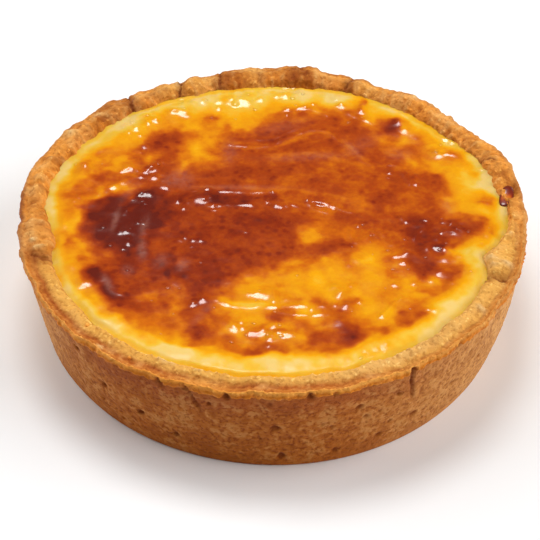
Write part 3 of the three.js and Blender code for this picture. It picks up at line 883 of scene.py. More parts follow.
def closed_object(name, vertices, faces, values):
    """A mesh object from millimetre vertices, faced outwards, with named values on its points."""
    first = vertices[[face[0] for face in faces]]
    second = vertices[[face[1] for face in faces]]
    third = vertices[[face[2] for face in faces]]
    if np.einsum("ij,ij->i", first, np.cross(second, third)).sum() < 0:
        faces = [face[::-1] for face in faces]
    mesh = bpy.data.meshes.new(name)
    mesh.from_pydata((vertices * MM).tolist(), [], faces)
    for label, value in values.items():
        kind = "FLOAT" if value.ndim == 1 else "FLOAT_COLOR"
        stored = mesh.attributes.new(label, kind, "POINT")
        stored.data.foreach_set("value" if value.ndim == 1 else "color", value.astype(np.float32).ravel())
    mesh.polygons.foreach_set("use_smooth", np.ones(len(mesh.polygons), bool))
    made = bpy.data.objects.new(name, mesh)
    bpy.context.scene.collection.objects.link(made)
    return made


def copied_object(name, source):
    """A second object with a copy of a finished piece's mesh."""
    made = bpy.data.objects.new(name, bpy.data.objects[source].data.copy())
    bpy.context.scene.collection.objects.link(made)
    return made


def add(tree, kind, inputs=None, **settings):
    """Adds a node, sets it up and fills its inputs with values or with other nodes' outputs."""
    node = tree.nodes.new(kind)
    for label, value in settings.items():
        setattr(node, label, value)
    for label, value in (inputs or {}).items():
        named = [s for s in node.inputs if s.name == label and s.enabled]
        socket = node.inputs[label] if isinstance(label, int) else named[0]
        if isinstance(value, bpy.types.NodeSocket):
            tree.links.new(value, socket)
        else:
            socket.default_value = value
    return node


def out(node, label=0):
    """A node's output, by its place or by the name of one that is switched on."""
    if isinstance(label, int):
        return node.outputs[label]
    return next(s for s in node.outputs if s.name == label and s.enabled)


def calc(tree, operation, *values, clamp=False):
    """A Math node's output."""
    return out(add(tree, "ShaderNodeMath", dict(enumerate(values)), operation=operation, use_clamp=clamp))


def times(tree, first, second):
    """Two values multiplied."""
    return calc(tree, "MULTIPLY", first, second)


def ramp_between(tree, value, low, high, to_low=0.0, to_high=1.0):
    """An even step of a value from one range to another."""
    node = add(
        tree,
        "ShaderNodeMapRange",
        {"Value": value, "From Min": low, "From Max": high, "To Min": to_low, "To Max": to_high},
        interpolation_type="SMOOTHSTEP",
    )
    return out(node)


def setting(settings, label):
    """The value of the setting that a tree's input is named after."""
    return getattr(settings, label.lower().replace(" ", "_"))


def shape_tree(name, settings, labels):
    """A Geometry Nodes tree with an input for each named setting and one for its finish."""
    tree = bpy.data.node_groups.new(name, "GeometryNodeTree")
    tree.interface.new_socket("Geometry", in_out="INPUT", socket_type="NodeSocketGeometry")
    tree.interface.new_socket("Geometry", in_out="OUTPUT", socket_type="NodeSocketGeometry")
    for label in labels:
        value = setting(settings, label)
        kind = "NodeSocketInt" if isinstance(value, int) else "NodeSocketFloat"
        tree.interface.new_socket(label, in_out="INPUT", socket_type=kind).default_value = value
    tree.interface.new_socket("Finish", in_out="INPUT", socket_type="NodeSocketMaterial")
    entry = tree.nodes.new("NodeGroupInput")
    return tree, {s.name: s for s in entry.outputs if s.name}


def end_tree(tree, geometry, finish):
    """Ends a tree in plain geometry with its finish on it."""
    real = add(tree, "GeometryNodeRealizeInstances", {"Geometry": geometry})
    painted = add(tree, "GeometryNodeSetMaterial", {"Geometry": out(real), "Material": finish})
    exit_node = tree.nodes.new("NodeGroupOutput")
    tree.links.new(out(painted), exit_node.inputs[0])


def named_value(tree, label):
    """A value stored on the piece's points, for its shape."""
    return out(add(tree, "GeometryNodeInputNamedAttribute", {"Name": label}, data_type="FLOAT"), "Attribute")


def run_tree(piece, tree, settings, finish):
    """Runs a tree on a piece with its inputs set, and keeps the result as the piece's plain mesh."""
    modifier = piece.modifiers.new(tree.name, "NODES")
    modifier.node_group = tree
    for socket in tree.interface.items_tree:
        if socket.in_out == "INPUT" and socket.name != "Geometry":
            value = finish if socket.name == "Finish" else setting(settings, socket.name)
            modifier[socket.identifier] = value
    graph = bpy.context.evaluated_depsgraph_get()
    made = bpy.data.meshes.new_from_object(
        piece.evaluated_get(graph), preserve_all_data_layers=True, depsgraph=graph
    )
    piece.modifiers.remove(modifier)
    piece.data = made
    made.name = piece.name
    made.polygons.foreach_set("use_smooth", np.ones(len(made.polygons), bool))


def swell(tree, scale, depth, detail, distortion=0.0):
    """Soft noise on the piece's own places, half above and half below the surface."""
    place = out(add(tree, "GeometryNodeInputPosition"))
    inputs = {"Vector": place, "Scale": scale, "Detail": detail, "Distortion": distortion}
    noise = add(tree, "ShaderNodeTexNoise", inputs)
    return times(tree, calc(tree, "SUBTRACT", out(noise), 0.5), depth)


def push_out(tree, geometry, amount):
    """Moves a surface along its normals."""
    normal = out(add(tree, "GeometryNodeInputNormal"))
    offset = add(tree, "ShaderNodeVectorMath", {"Vector": normal, "Scale": amount}, operation="SCALE")
    return out(add(tree, "GeometryNodeSetPosition", {"Geometry": geometry, "Offset": out(offset)}))


def strewn_points(tree, given, spacing, most, weight):
    """Points strewn over a piece at least the spacing apart, thickest where a named value is high."""
    inputs = {
        "Mesh": given["Geometry"],
        "Distance Min": given[spacing],
        "Density Max": most,
        "Density Factor": named_value(tree, weight),
        "Seed": given["Seed"],
    }
    return add(tree, "GeometryNodeDistributePointsOnFaces", inputs, distribute_method="POISSON")


def drawn(tree, given, low, high, kind="FLOAT"):
    """A value drawn for each point between two others."""
    inputs = {"Min": low, "Max": high, "Seed": given["Seed"]}
    return out(add(tree, "FunctionNodeRandomValue", inputs, data_type=kind), "Value")


def fix_to_frame(piece, slot, *nodes):
    """Rides a finished piece on the frame, in place of the nodes that it stands for."""
    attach(piece, "root")
    if nodes:
        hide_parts(*nodes)


def metres(name, description, default):
    """A length setting."""
    return FloatProperty(name=name, description=description, default=default, unit="LENGTH")


def tint(name, description, default):
    """A colour setting, as seen on a screen."""
    return FloatVectorProperty(
        name=name, description=description, default=default, subtype="COLOR_GAMMA"
    )


def watts(name, description, default):
    """A setting for the power of a lamp."""
    return FloatProperty(name=name, description=description, default=default, unit="POWER")


class PastrySettings(bpy.types.PropertyGroup):
    """Sizes and colours of the pastry case"""

    lip_radius: metres("Lip radius", "Nominal radius of the lip", 0.050)
    lip_height: metres("Lip height", "Nominal height of the lip", 0.0223)
    base_radius: metres("Base radius", "Radius of the wall at its foot", 0.0464)
    lump_size: metres("Lump size", "Size of the rim's lumps", 0.0022)
    lump_depth: metres("Lump depth", "Height of the rim's lumps", 0.0009)
    crumb_size: metres("Crumb size", "Size of the crust's crumb", 0.0009)
    crumb_depth: metres("Crumb depth", "Height of the crust's crumb", 0.0002)
    pit_radius: metres("Pit radius", "Radius of the largest pits", 0.0009)
    pit_depth: metres("Pit depth", "Depth of the pits", 0.0009)
    pit_spacing: metres("Pit spacing", "Least distance between pits", 0.0024)
    crumb_spacing: metres("Loose crumb spacing", "Least distance between crumbs", 0.0035)
    seed: IntProperty(name="Seed", description="Draw for pits and crumbs", default=7, min=0)
    wall_colour: tint("Wall", "Middle of the wall", (0.735, 0.425, 0.145))
    foot_colour: tint("Foot", "Lower wall", (0.755, 0.435, 0.14))
    under_lip_colour: tint("Under the lip", "Band below the lip", (0.705, 0.385, 0.15))
    lip_colour: tint("Lip", "Golden outer lip", (1.0, 0.72, 0.345))
    # Lower edge of the lip; also laid as painted shade and warm bounced light at the foot of the back rim's
    # inner face
    lip_shade_colour: tint("Lip shade", "Lower edge of the lip", (0.88, 0.52, 0.10))
    flake_colour: tint("Flakes", "Palest flakes of crust", (0.99, 0.86, 0.62))
    # Back of the rim: partly the crust's tone, partly painted light on its inner face, which the lamps leave
    # shaded
    back_colour: tint("Back", "Back of the rim", (1.0, 0.695, 0.31))
    groove_colour: tint("Groove", "Reddish groove", (0.76, 0.42, 0.16))
    # Paler ends of the wall: partly the crust's tone, partly painted light and sheen from the side lamps
    side_colour: tint("Side", "Paler ends of the wall", (0.845, 0.615, 0.355))
    ridge_colour: tint("Ridge", "Tan inner ridge", (1.0, 0.80, 0.425))
    grain_colour: tint("Grain", "Pale grains of crust", (0.99, 0.80, 0.51))
    # Painted shade at the bottom of pits and cracks
    hollow_shade_colour: tint("Pits", "Bottom of pits and cracks", (0.5, 0.225, 0.065))
    toast_colour: tint("Toasted", "Darkest stretches of rim", (0.56, 0.225, 0.045))


class CustardSettings(bpy.types.PropertyGroup):
    """Sizes and colours of the custard and its glaze"""

    level: metres("Level", "Height of the skin", 0.0209)
    edge_drop: metres("Edge drop", "Fall of the skin at the case", 0.0003)
    edge_climb: metres("Edge climb", "Rise of the skin at the back", 0.00035)
    puff: metres("Puff", "Rise of the puffed edge", 0.00045)
    wrinkle_size: metres("Wrinkle size", "Size of the skin's wrinkles", 0.0028)
    wrinkle_depth: metres("Wrinkle depth", "Height of the wrinkles", 0.00014)
    ripple_size: metres("Ripple size", "Size of the fine ripples", 0.0011)
    ripple_depth: metres("Ripple depth", "Height of the fine ripples", 0.00005)
    bead_radius: metres("Bead radius", "Radius of the largest beads", 0.00062)
    bead_spacing: metres("Bead spacing", "Least distance between beads", 0.0018)
    seed: IntProperty(name="Seed", description="Draw for the beads", default=11, min=0)
    cream_colour: tint("Cream", "Palest edge", (0.905, 0.765, 0.44))
    pale_colour: tint("Pale yellow", "Unbrowned edge", (0.905, 0.72, 0.225))
    yellow_colour: tint("Yellow", "Bare custard", (0.92, 0.635, 0.015))
    amber_colour: tint("Amber", "Lightly browned", (0.88, 0.54, 0.01))
    orange_colour: tint("Orange", "Browned", (0.80, 0.40, 0.012))
    brown_colour: tint("Red-brown", "Well browned", (0.67, 0.262, 0.02))
    dark_colour: tint("Dark", "Caramelised", (0.54, 0.165, 0.02))
    burnt_colour: tint("Burnt", "Darkest patches", (0.39, 0.10, 0.04))
    # Greyish-pink milky film, which also paints the sheen of folds that mirror the softboxes
    film_colour: tint("Film", "Milky film", (0.66, 0.44, 0.38))


class StageSettings(bpy.types.PropertyGroup):
    """Camera, lights and floor"""

    distance: metres("Camera distance", "From the middle of the tart", 0.350)
    elevation: FloatProperty(
        name="Camera elevation",
        description="Above the horizon",
        default=math.radians(41.235),
        unit="ROTATION",
    )
    focal_pixels: FloatProperty(name="Focal length", description="In pixels of the picture", default=1733.1)
    middle_x: FloatProperty(
        name="Middle X", description="Pixel column that the camera aims at", default=272.92
    )
    middle_y: FloatProperty(
        name="Middle Y", description="Pixel row that the camera aims at", default=255.95
    )
    floor_colour: tint("Floor", "Pale floor", (0.97, 0.97, 0.97))
    sky: FloatProperty(name="Sky", description="Strength of the even light", default=0.05)
    key_power: watts("Key", "Overhead light", 2.6)
    right_power: watts("Right", "Right softbox", 11.3)
    left_power: watts("Left", "Left softbox", 8.75)
    softbox_shine: FloatProperty(
        name="Softbox shine",
        description="Share of the softboxes that the glaze mirrors",
        default=0.3,
        subtype="FACTOR",
    )


def inner_wall(height, sizes):
    """Radius of the case's inner wall, which runs alongside the outer one."""
    lean = (sizes.lip_radius - sizes.base_radius) / sizes.lip_height
    return EDGE_RADIUS - INNER_WALL_INSET - lean * (sizes.lip_height / MM - height)


def case_section(sizes):
    """Half section of the case as rows of radius and height, from the underside round to the floor."""
    lip, top, base = sizes.lip_radius / MM, sizes.lip_height / MM, sizes.base_radius / MM
    wall_top = top - LIP_DEPTH
    share = np.linspace(0, 1, WALL_ROWS)
    wall = np.stack([mix(base, lip - LIP_PROUD, share), mix(FOOT_ROUND, wall_top, share)], axis=1)
    rim = curve_points(
        (
            (lip - LIP_PROUD, wall_top),
            (lip - LIP_PROUD * 0.2, wall_top + LIP_DEPTH * 0.15),
            (lip, wall_top + LIP_DEPTH * 0.5),
            (lip - LIP_WIDTH * 0.12, wall_top + LIP_DEPTH * 0.85),
            (lip - LIP_WIDTH * 0.4, top),
            (lip - LIP_WIDTH, top - GROOVE_DEPTH * 0.55),
            (GROOVE_RADIUS, top - GROOVE_DEPTH),
            ((GROOVE_RADIUS + RIDGE_RADIUS) / 2, top - RIDGE_DROP * 1.5),
            (RIDGE_RADIUS, top - RIDGE_DROP),
            ((RIDGE_RADIUS + EDGE_RADIUS) / 2, top - RIDGE_DROP * 1.7),
            (EDGE_RADIUS, top - EDGE_DROP),
        ),
        RIM_ROWS,
    )
    under = [(base * 0.5, 0), (base - FOOT_ROUND, 0), (base - FOOT_ROUND * 0.3, FOOT_ROUND * 0.3)]
    high = top * INNER_WALL_TOP
    inside = [
        (inner_wall(high, sizes), high),
        (inner_wall(INNER_WALL_FOOT, sizes), INNER_WALL_FOOT),
        (inner_wall(FLOOR_THICKNESS, sizes) - FLOOR_CORNER, FLOOR_THICKNESS),
    ]
    return np.concatenate([under, wall, rim[1:], inside])


def crack_depths(angle, outward):
    """How deep the rim's cracks cut: their soft valleys, and the slits at the bottom of these.

    Outward runs from 0 at the custard to 1 at the lip.
    """
    valley, slit = np.zeros_like(angle), np.zeros_like(angle)
    for inner, outer, width, depth, reach in RIM_CRACKS:
        line = ragged(angle, *CRACK_WAVES, int(inner * CRACK_DRAW_STEPS) % CRACK_DRAWS)
        across = turn_from(angle, mix(inner, outer, outward)) * MM_PER_DEGREE
        across = across + CRACK_WANDER * line * width * outward
        kept = depth * (1 - smooth(outward, reach - CRACK_FADE, reach + CRACK_FADE))
        valley = np.maximum(valley, VALLEY_SHARE * kept * hill(across, width * VALLEY_WIDTH))
        slit = np.maximum(slit, SLIT_SHARE * kept * hill(across, width * SLIT_WIDTH))
    return valley, slit


def crease_depth(angle, height):
    """How deep the creases down the outside of the wall are pressed."""
    arc = angle * MM_PER_DEGREE
    deepest = np.zeros_like(angle)
    for top_angle, top_height, end_angle, end_height, width, depth in WALL_CREASES:
        down = (top_height - height) / (top_height - end_height)
        across = turn_from(angle, mix(top_angle, end_angle, down)) * MM_PER_DEGREE
        across = across + ground(arc, height, CREASE_WANDER)
        fade = smooth(1 - down, *CREASE_END) * (CREASE_MEAN + ground(arc, height, CREASE_BREAKS))
        deepest = np.maximum(deepest, depth * hill(across, width) * fade)
    return deepest


def wall_pit_depth(angle, height):
    """How deep the largest pits in the front of the wall are, with their ragged outlines."""
    outline = 1 + ground(angle * MM_PER_DEGREE, height, PIT_OUTLINE)
    deepest = np.zeros_like(angle)
    for at, level, width, depth in WALL_PITS:
        away = np.hypot(turn_from(angle, at) * MM_PER_DEGREE, height - level) * outline
        bottom, brink = (share * width for share in PIT_SIDES)
        deepest = np.maximum(deepest, depth * (1 - smooth(away, bottom, brink)))
    return deepest


def hole_depth(angle, radius):
    """How deep the hollow in the right of the rim is, where caramel has run in."""
    return HOLE_DEPTH * hill(distance_to_line(*around(angle, radius), CARAMEL_LINE), HOLE_WIDTH)


def notch_depth(angle):
    """How deep the lip is bitten into."""
    return sum(depth * hill(turn_from(angle, at) * MM_PER_DEGREE, width) for at, width, depth in LIP_NOTCHES)


def rim_lumps(angle, radius):
    """Flutes across the back of the rim and lumps all round it, mostly between -1 and 1."""
    x, y = around(angle, radius)
    lumps = wobble(angle + ground(x, y, FLUTE_BEND), RIM_FLUTES) * (1 - frontness(angle))
    lumps += ground(x, y, *RIM_LUMPS)
    return lumps * (1 - CALMER_LIP_SHARE * smooth(radius, *CALMER_LIP))


def flake_rise(angle, radius):
    """How far the pale flakes stand up from the rim."""
    return sum_places(*around(angle, radius), RIM_FLAKES)


def groove_tint(angle, radius, from_lip):
    """How reddish the groove, the line beside it and the slope up to the lip are, paler at the right."""
    groove = hill(radius - GROOVE_RADIUS, GROOVE_WIDTH)
    groove = groove + LINE_TINT * hill(radius - LINE_RADIUS, LINE_WIDTH * 1.5)
    lip_slope = smooth(radius, GROOVE_RADIUS - 0.3, GROOVE_RADIUS) * smooth(from_lip, *LIP_SLOPE)
    groove = np.clip(np.maximum(groove, LIP_SLOPE_TINT * lip_slope), 0, 1)
    at, *fade = PALER_RIGHT
    paler_right = PALER_RIGHT_SHARE * smooth(turn_from(angle, at), *fade)
    paler_right = paler_right * (1 - 0.5 * smooth(radius, *OUTER_LINE))
    paler_lip = PALER_LIP_SHARE * near(angle, *PALER_LIP)
    return groove * (1 - paler_right) * (1 - paler_lip)


def pastry_tone(angle, radius, height, sizes):
    """Colour of the crust before its mottling, laid on in layers over the colour of the wall."""
    lip, top = sizes.lip_radius / MM, sizes.lip_height / MM
    x, y = around(angle, radius)
    from_lip = lip - radius
    front = frontness(angle)
    back = 1 - front
    on_rim = smooth(height, top - LIP_DEPTH * 1.05, top - LIP_DEPTH * 0.8)
    crest = smooth(radius, lip - LIP_WIDTH, lip - 0.4) * on_rim
    lumps = rim_lumps(angle, radius)

    lines = hill(radius - GROOVE_RADIUS, 0.2) + 0.8 * hill(radius - LINE_RADIUS, 0.16)
    line_toast = lines * smooth(wobble(angle, LINE_TOASTING), -0.9, 0.4)
    inner_face = smooth(RIDGE_RADIUS - radius, -0.4, 0.6) * smooth(height, top - 7, top - 5) * back
    foot = smooth(RIDGE_RADIUS + 1.6 - radius, -0.6, 1.2) * on_rim
    golden_foot = foot * smooth(np.sin(np.radians(angle)), 0.35, 0.8)
    right_slope = near(angle, *RIGHT_SLOPE) * smooth(GROOVE_RADIUS - radius, 0.2, 1.2)
    stretches = sum_round(TOASTED_STRETCHES, angle, 2) * (0.75 + ground(x, y, TOAST_PATCHES))
    patches = smooth(ground(x, y, DARK_PATCHES), 0.0, 0.8) * (1 - 0.7 * near(angle, *PALER_BACK_RIGHT))
    flecks = smooth(ground(x, y, FLECKS), 0.1, 0.6) * smooth(ground(x, y, FLECKED_PATCHES), -0.3, 0.4)
    grains = smooth(ground(x, y, GRAIN_PATCHES), -0.1, 0.6) * (1 - 0.6 * foot)
    lower_lip = 1 - smooth(height, top - LIP_DEPTH * 0.55, top - LIP_DEPTH * 0.1)
    outer_face = smooth(radius, lip - LIP_WIDTH * 0.8, lip - LIP_WIDTH * 0.5)
    layers = (
        ("foot", smooth(-height, *FOOT_ZONE)),
        ("under_lip", smooth(height, *UNDER_LIP_ZONE)),
        # Paler ends of the wall: partly painted side light and sheen
        ("side", smooth(np.abs(turn_from(angle, DARKEST_WALL)), *PALE_SIDES)),
        ("lip", on_rim),
        ("ridge", smooth(from_lip, LIP_WIDTH, LIP_WIDTH + 1.6) * on_rim),
        # Back rim: partly its own tone, partly painted light where the lamps leave it in shade
        ("back", BACK_TINT * back * on_rim),
        ("groove", groove_tint(angle, radius, from_lip) * mix(*GROOVE_TINT, front) * on_rim),
        ("toast", LINE_TOAST * front * line_toast * on_rim),
        # Inner face of the back rim: painted light, with painted shade laid lower down below
        ("back", inner_face),
        # Foot of the back rim's inner face against the custard: painted shade and warm light bounced from the
        # custard
        ("lip_shade", GOLDEN_FOOT * golden_foot),
        ("lip_shade", INNER_FACE_SHADE * inner_face * smooth(top - height, 0.6, 2.4)),
        ("flake", RIGHT_SLOPE_FLAKE * right_slope * on_rim),
        ("toast", STRETCH_TOAST * np.clip(stretches, 0, 1) * on_rim),
        ("toast", PATCH_TOAST * back * patches * on_rim),
        ("toast", FLECK_TOAST * back * flecks * on_rim),
        ("grain", PATCH_GRAIN * back * grains * on_rim),
        ("ridge", np.clip(sum_round(PALER_STRETCHES, angle, 2), 0, 1) * on_rim),
        # Painted shade in the hollows between lumps and painted light on their tops
        ("toast", mix(*LUMP_HOLLOW_SHADE, front) * smooth(-lumps, 0.1, 0.8) * on_rim),
        ("grain", mix(*LUMP_TOP_LIGHT, front) * smooth(lumps, 0.05, 0.6) * on_rim),
        # Painted contact shade along the rim's inner edge, where it meets the custard
        ("toast", CONTACT_SHADE * front * hill(radius - EDGE_RADIUS, 0.5) * on_rim),
        ("side", CREST_SIDE * crest * smooth(np.abs(turn_from(angle, PALEST_CREST)), *PALE_CREST)),
        ("toast", CREST_TOAST * crest * back * smooth(wobble(angle, CREST_TOASTING), -0.4, 0.8)),
        ("toast", crest * np.clip(sum_round(EDGE_TOASTS, angle, 2), 0, 1)),
        ("lip_shade", LOWER_LIP_SHADE * front * lower_lip * on_rim * outer_face),
        ("lip_shade", LIP_GOLD * crest * near(angle, *GOLDEN_LIP)),
        ("flake", np.clip(FLAKE_PALENESS * flake_rise(angle, radius), 0, 1) * on_rim),
    )
    tone = np.broadcast_to(np.array(linear(sizes.wall_colour)), (*angle.shape, 3))
    for name, share in layers:
        colour = np.array(linear(getattr(sizes, name + "_colour")))
        tone = tone + (colour - tone) * share[..., None]
    return np.concatenate([tone, np.ones((*angle.shape, 1))], axis=-1)


def case_mesh(sizes):
    """Vertices, faces and point values of the case before its crumb is raised."""
    section = case_section(sizes)
    top = sizes.lip_height / MM
    rows, columns = len(section), CASE_COLUMNS
    turn = np.linspace(-180, 180, columns, endpoint=False)
    angle = np.broadcast_to(turn, (rows, columns))
    radius = np.repeat(section[:, :1], columns, axis=1)
    height = np.repeat(section[:, 1:], columns, axis=1)
    tone = pastry_tone(angle, radius, height, sizes)
    front = frontness(angle)
    back = 1 - front

    lumps = rim_lumps(angle, radius)
    share = rim_share(height)
    on_top = smooth(height, top - RIM_DEPTH, top - EDGE_DROP * 0.5)
    crusty = smooth(height, top - RIM_DEPTH * 1.2, top - RIM_DEPTH * 0.6)
    inside = smooth(GROOVE_RADIUS - radius, 0, GROOVE_RADIUS - EDGE_RADIUS)
    outside = smooth(radius - inner_wall(height, sizes), *OUTER_HALF)
    outward = smooth(radius, EDGE_RADIUS, sizes.lip_radius / MM)
    lip_zone = outside * smooth(height, top - LIP_DEPTH * 1.3, top - LIP_DEPTH * 0.8)
    groove_zone = hill(radius - GROOVE_RADIUS, GROOVE_WIDTH * 1.4) * on_top
    ridge_zone = hill(radius - RIDGE_RADIUS, RIDGE_WIDTH) * on_top
    outer_line = mix(sizes.base_radius, sizes.lip_radius, height / top) / MM
    face = 1 - smooth(outer_line - radius, LIP_WIDTH * 0.7, LIP_WIDTH * 1.1)

    cracked = smooth(height, top - RIM_DEPTH * 1.4, top - RIM_DEPTH * 0.5)
    valley, slit = (cracked * depth for depth in crack_depths(angle, outward))
    crack = valley + slit
    notch = notch_depth(angle) * lip_zone * face * smooth(top - height, *NOTCH_FADE)
    crease = crease_depth(angle, height) * face * smooth(-height, -top, LIP_DEPTH * 0.3 - top)
    wall_pit = wall_pit_depth(angle, height) * outside
    hole = hole_depth(angle, radius) * on_top
    uneven = wobble(turn, RIM_UNEVENNESS)

    belly = np.sin(math.pi * np.clip(height / top, 0, 1)) * outside
    beside = front * (1 - near(angle, NARROWEST_RIDGE, NARROW_SPREAD))
    shift = share * mix(sum_round(RIM_SWELLS, angle, 3), edge_shift(angle), inside)
    shift += outside * (share * ripple(angle) - on_top * crack * CRACK_PULL)
    shift += belly * (WALL_BELLY + sum_round(WALL_BELLIES, angle, 2))
    shift += outside * (1 - smooth(height, 0, FOOT_BULGE_TOP)) * sum_round(FOOT_BULGES, angle, 2)
    shift += on_top * beside * GROOVE_WANDER * hill(radius - GROOVE_RADIUS, GROOVE_WANDER_WIDTH)
    shift += lip_zone * (wobble(turn, LIP_CRUMBLE) + wobble(turn, LIP_GRIT)) - notch
    shift += lip_zone * mix(*LIP_UNEVEN, front) * uneven
    shift -= crease + wall_pit

    rounding = sum(lift * hill(radius - at, width) for at, width, lift in BACK_ROUNDING)
    rise = share * sum_round(RIM_SWELLS, angle, 2) + on_top * (ripple(angle + RIPPLE_LAG) - crack)
    rise += groove_zone * back * GROOVE_DEPTH * GROOVE_FILL - hole + flake_rise(angle, radius) * on_top
    rise -= front * on_top * LINE_DEPTH * hill(radius - LINE_RADIUS, LINE_WIDTH)
    rise += on_top * back * rounding
    rise += crusty * mix(*LUMP_RISE, front) * lumps + on_top * mix(*TOP_UNEVEN, front) * uneven
    rise += ridge_zone * wobble(turn, RIDGE_CRUMBLE) - lip_zone * wobble(turn, LIP_UNDERSIDE) * (1 - on_top)

    height = height + rise
    ring = np.stack([*around(angle, radius + shift), height], -1)
    vertices = np.concatenate([ring.reshape(-1, 3), [(0, 0, 0), (0, 0, FLOOR_THICKNESS)]])

    crumbly = np.maximum(outside * smooth(height, *FOOT_CRUMB) + (1 - outside) * on_top, crusty)
    crumbly = np.clip(crumbly, 0, 1)
    crumbly *= 1 + crusty * mix(*CRUMBLY_RIM, front) + CRUMBLY_LIP * lip_zone * front
    crumbly *= 1 - CALMER_BACK_EDGE * back * smooth(outward, 0.8, 1.0)
    on_wall = outside * smooth(height, *WALL_FOOT) * (1 - smooth(height, *WALL_TOP))
    lumpy = crusty * mix(*LUMPY_RIM, front) * (1 - 0.5 * outward) + LUMPY_WALL * on_wall
    # Painted shade in the rim's cracks, the wall's creases, pits and notches and the caramel hollow
    dark = VALLEY_SHADE * smooth(valley, 0.1, 0.5) + SLIT_SHADE * smooth(slit, 0.1, 0.4)
    dark = dark + CREASE_SHADE * crease + notch + HOLE_SHADE * hole + PIT_SHADE * wall_pit
    values = {
        "tone": tone,
        "crumbly": crumbly,
        "lumpy": lumpy,
        "wall": on_wall,
        "pitted": on_wall * mix(*PITTED_WALL, front),
        "rim_top": on_top * (1 - lip_zone * 0.5),
        # crack holds the painted shade of every hollow
        "crack": np.clip(dark, 0, 1),
    }
    # The points that close both ends take the values of the first point
    with_ends = {}
    for name, value in values.items():
        flat = value.reshape(rows * columns, *value.shape[2:])
        with_ends[name] = np.concatenate([flat, flat[:1], flat[:1]])
    return vertices, tube_faces(rows, columns), with_ends


def crust_tree(pastry):
    """Raises lumps and crumb on the crust and sinks its pits."""
    raised = ("Lump Size", "Lump Depth", "Crumb Size", "Crumb Depth")
    sunken = ("Pit Radius", "Pit Depth", "Pit Spacing", "Seed")
    tree, given = shape_tree("crust_relief", pastry, raised + sunken)
    place = out(add(tree, "GeometryNodeInputPosition"))
    lump = swell(tree, calc(tree, "DIVIDE", 1.0, given["Lump Size"]), given["Lump Depth"], 2.0)
    lump = times(tree, lump, named_value(tree, "lumpy"))
    scale = calc(tree, "DIVIDE", 1.0, given["Crumb Size"])
    inputs = {"Vector": place, "Scale": scale, "Detail": 1.0, "Smoothness": 0.5}
    crumb_cells = add(tree, "ShaderNodeTexVoronoi", inputs, feature="SMOOTH_F1")
    above = calc(tree, "SUBTRACT", CRUMB_LEVEL, out(crumb_cells))
    crumb = times(tree, above, given["Crumb Depth"])
    crumb = times(tree, crumb, named_value(tree, "crumbly"))

    pits = out(strewn_points(tree, given, "Pit Spacing", MOST_PITS, "pitted"), "Points")
    chance = add(tree, "FunctionNodeRandomValue", {"Seed": given["Seed"]}, data_type="FLOAT")
    share = calc(tree, "POWER", out(chance, "Value"), SMALL_PITS)
    share = calc(tree, "MULTIPLY_ADD", share, 1 - LEAST_PIT, LEAST_PIT)
    nearest = add(tree, "GeometryNodeSampleNearest", {"Geometry": pits}, domain="POINT")
    pit_size = times(tree, share, given["Pit Radius"])
    inputs = {"Geometry": pits, "Value": pit_size, "Index": out(nearest)}
    reach = out(add(tree, "GeometryNodeSampleIndex", inputs, data_type="FLOAT", domain="POINT"))
    gap = add(tree, "GeometryNodeProximity", {0: pits}, target_element="POINTS")
    inputs = {"Vector": place, "Scale": PIT_EDGE_WAVES, "Detail": 1.0}
    ragged_edge = add(tree, "ShaderNodeTexNoise", inputs)
    distance = times(tree, out(gap, "Distance"), calc(tree, "ADD", out(ragged_edge), 0.5))
    pit = ramp_between(tree, distance, reach, times(tree, reach, PIT_BOTTOM))
    size_share = calc(tree, "DIVIDE", reach, given["Pit Radius"])
    sunk = times(tree, times(tree, pit, given["Pit Depth"]), size_share)

    total = calc(tree, "SUBTRACT", calc(tree, "ADD", lump, crumb), sunk)
    kept = given["Geometry"]
    # The pit's painted shade, lighter for smaller pits, is stored as pit
    shade = times(tree, pit, calc(tree, "POWER", size_share, 0.6))
    for label, value in (("pit", shade), ("crumb", out(crumb_cells))):
        store = {"Geometry": kept, "Name": label, "Value": value}
        kept = out(add(tree, "GeometryNodeStoreNamedAttribute", store, data_type="FLOAT"))
    end_tree(tree, push_out(tree, kept, total), given["Finish"])
    return tree


def disc_grid(count):
    """A square grid drawn out to a round one: places between -1 and 1."""
    line = np.linspace(-1, 1, count)
    a, b = np.meshgrid(line, line)
    wide = np.abs(a) >= np.abs(b)
    reach = np.where(wide, a, b)
    divisor = np.where(reach == 0, 1, reach)
    turn = np.where(wide, math.pi / 4 * b / divisor, math.pi / 2 - math.pi / 4 * a / divisor)
    return reach * np.cos(turn), reach * np.sin(turn)


def signed_distance(x, y, outline):
    """Distance from every place to a closed outline, above zero inside it."""
    inside = np.zeros(x.shape, bool)
    closed = [*outline, outline[0]]
    for (ax, ay), (bx, by) in zip(closed[:-1], closed[1:]):
        if ay != by:
            crossing = ax + (y - ay) * (bx - ax) / (by - ay)
            inside ^= ((ay > y) != (by > y)) & (x < crossing)
    return np.where(inside, 1, -1) * distance_to_line(x, y, closed)


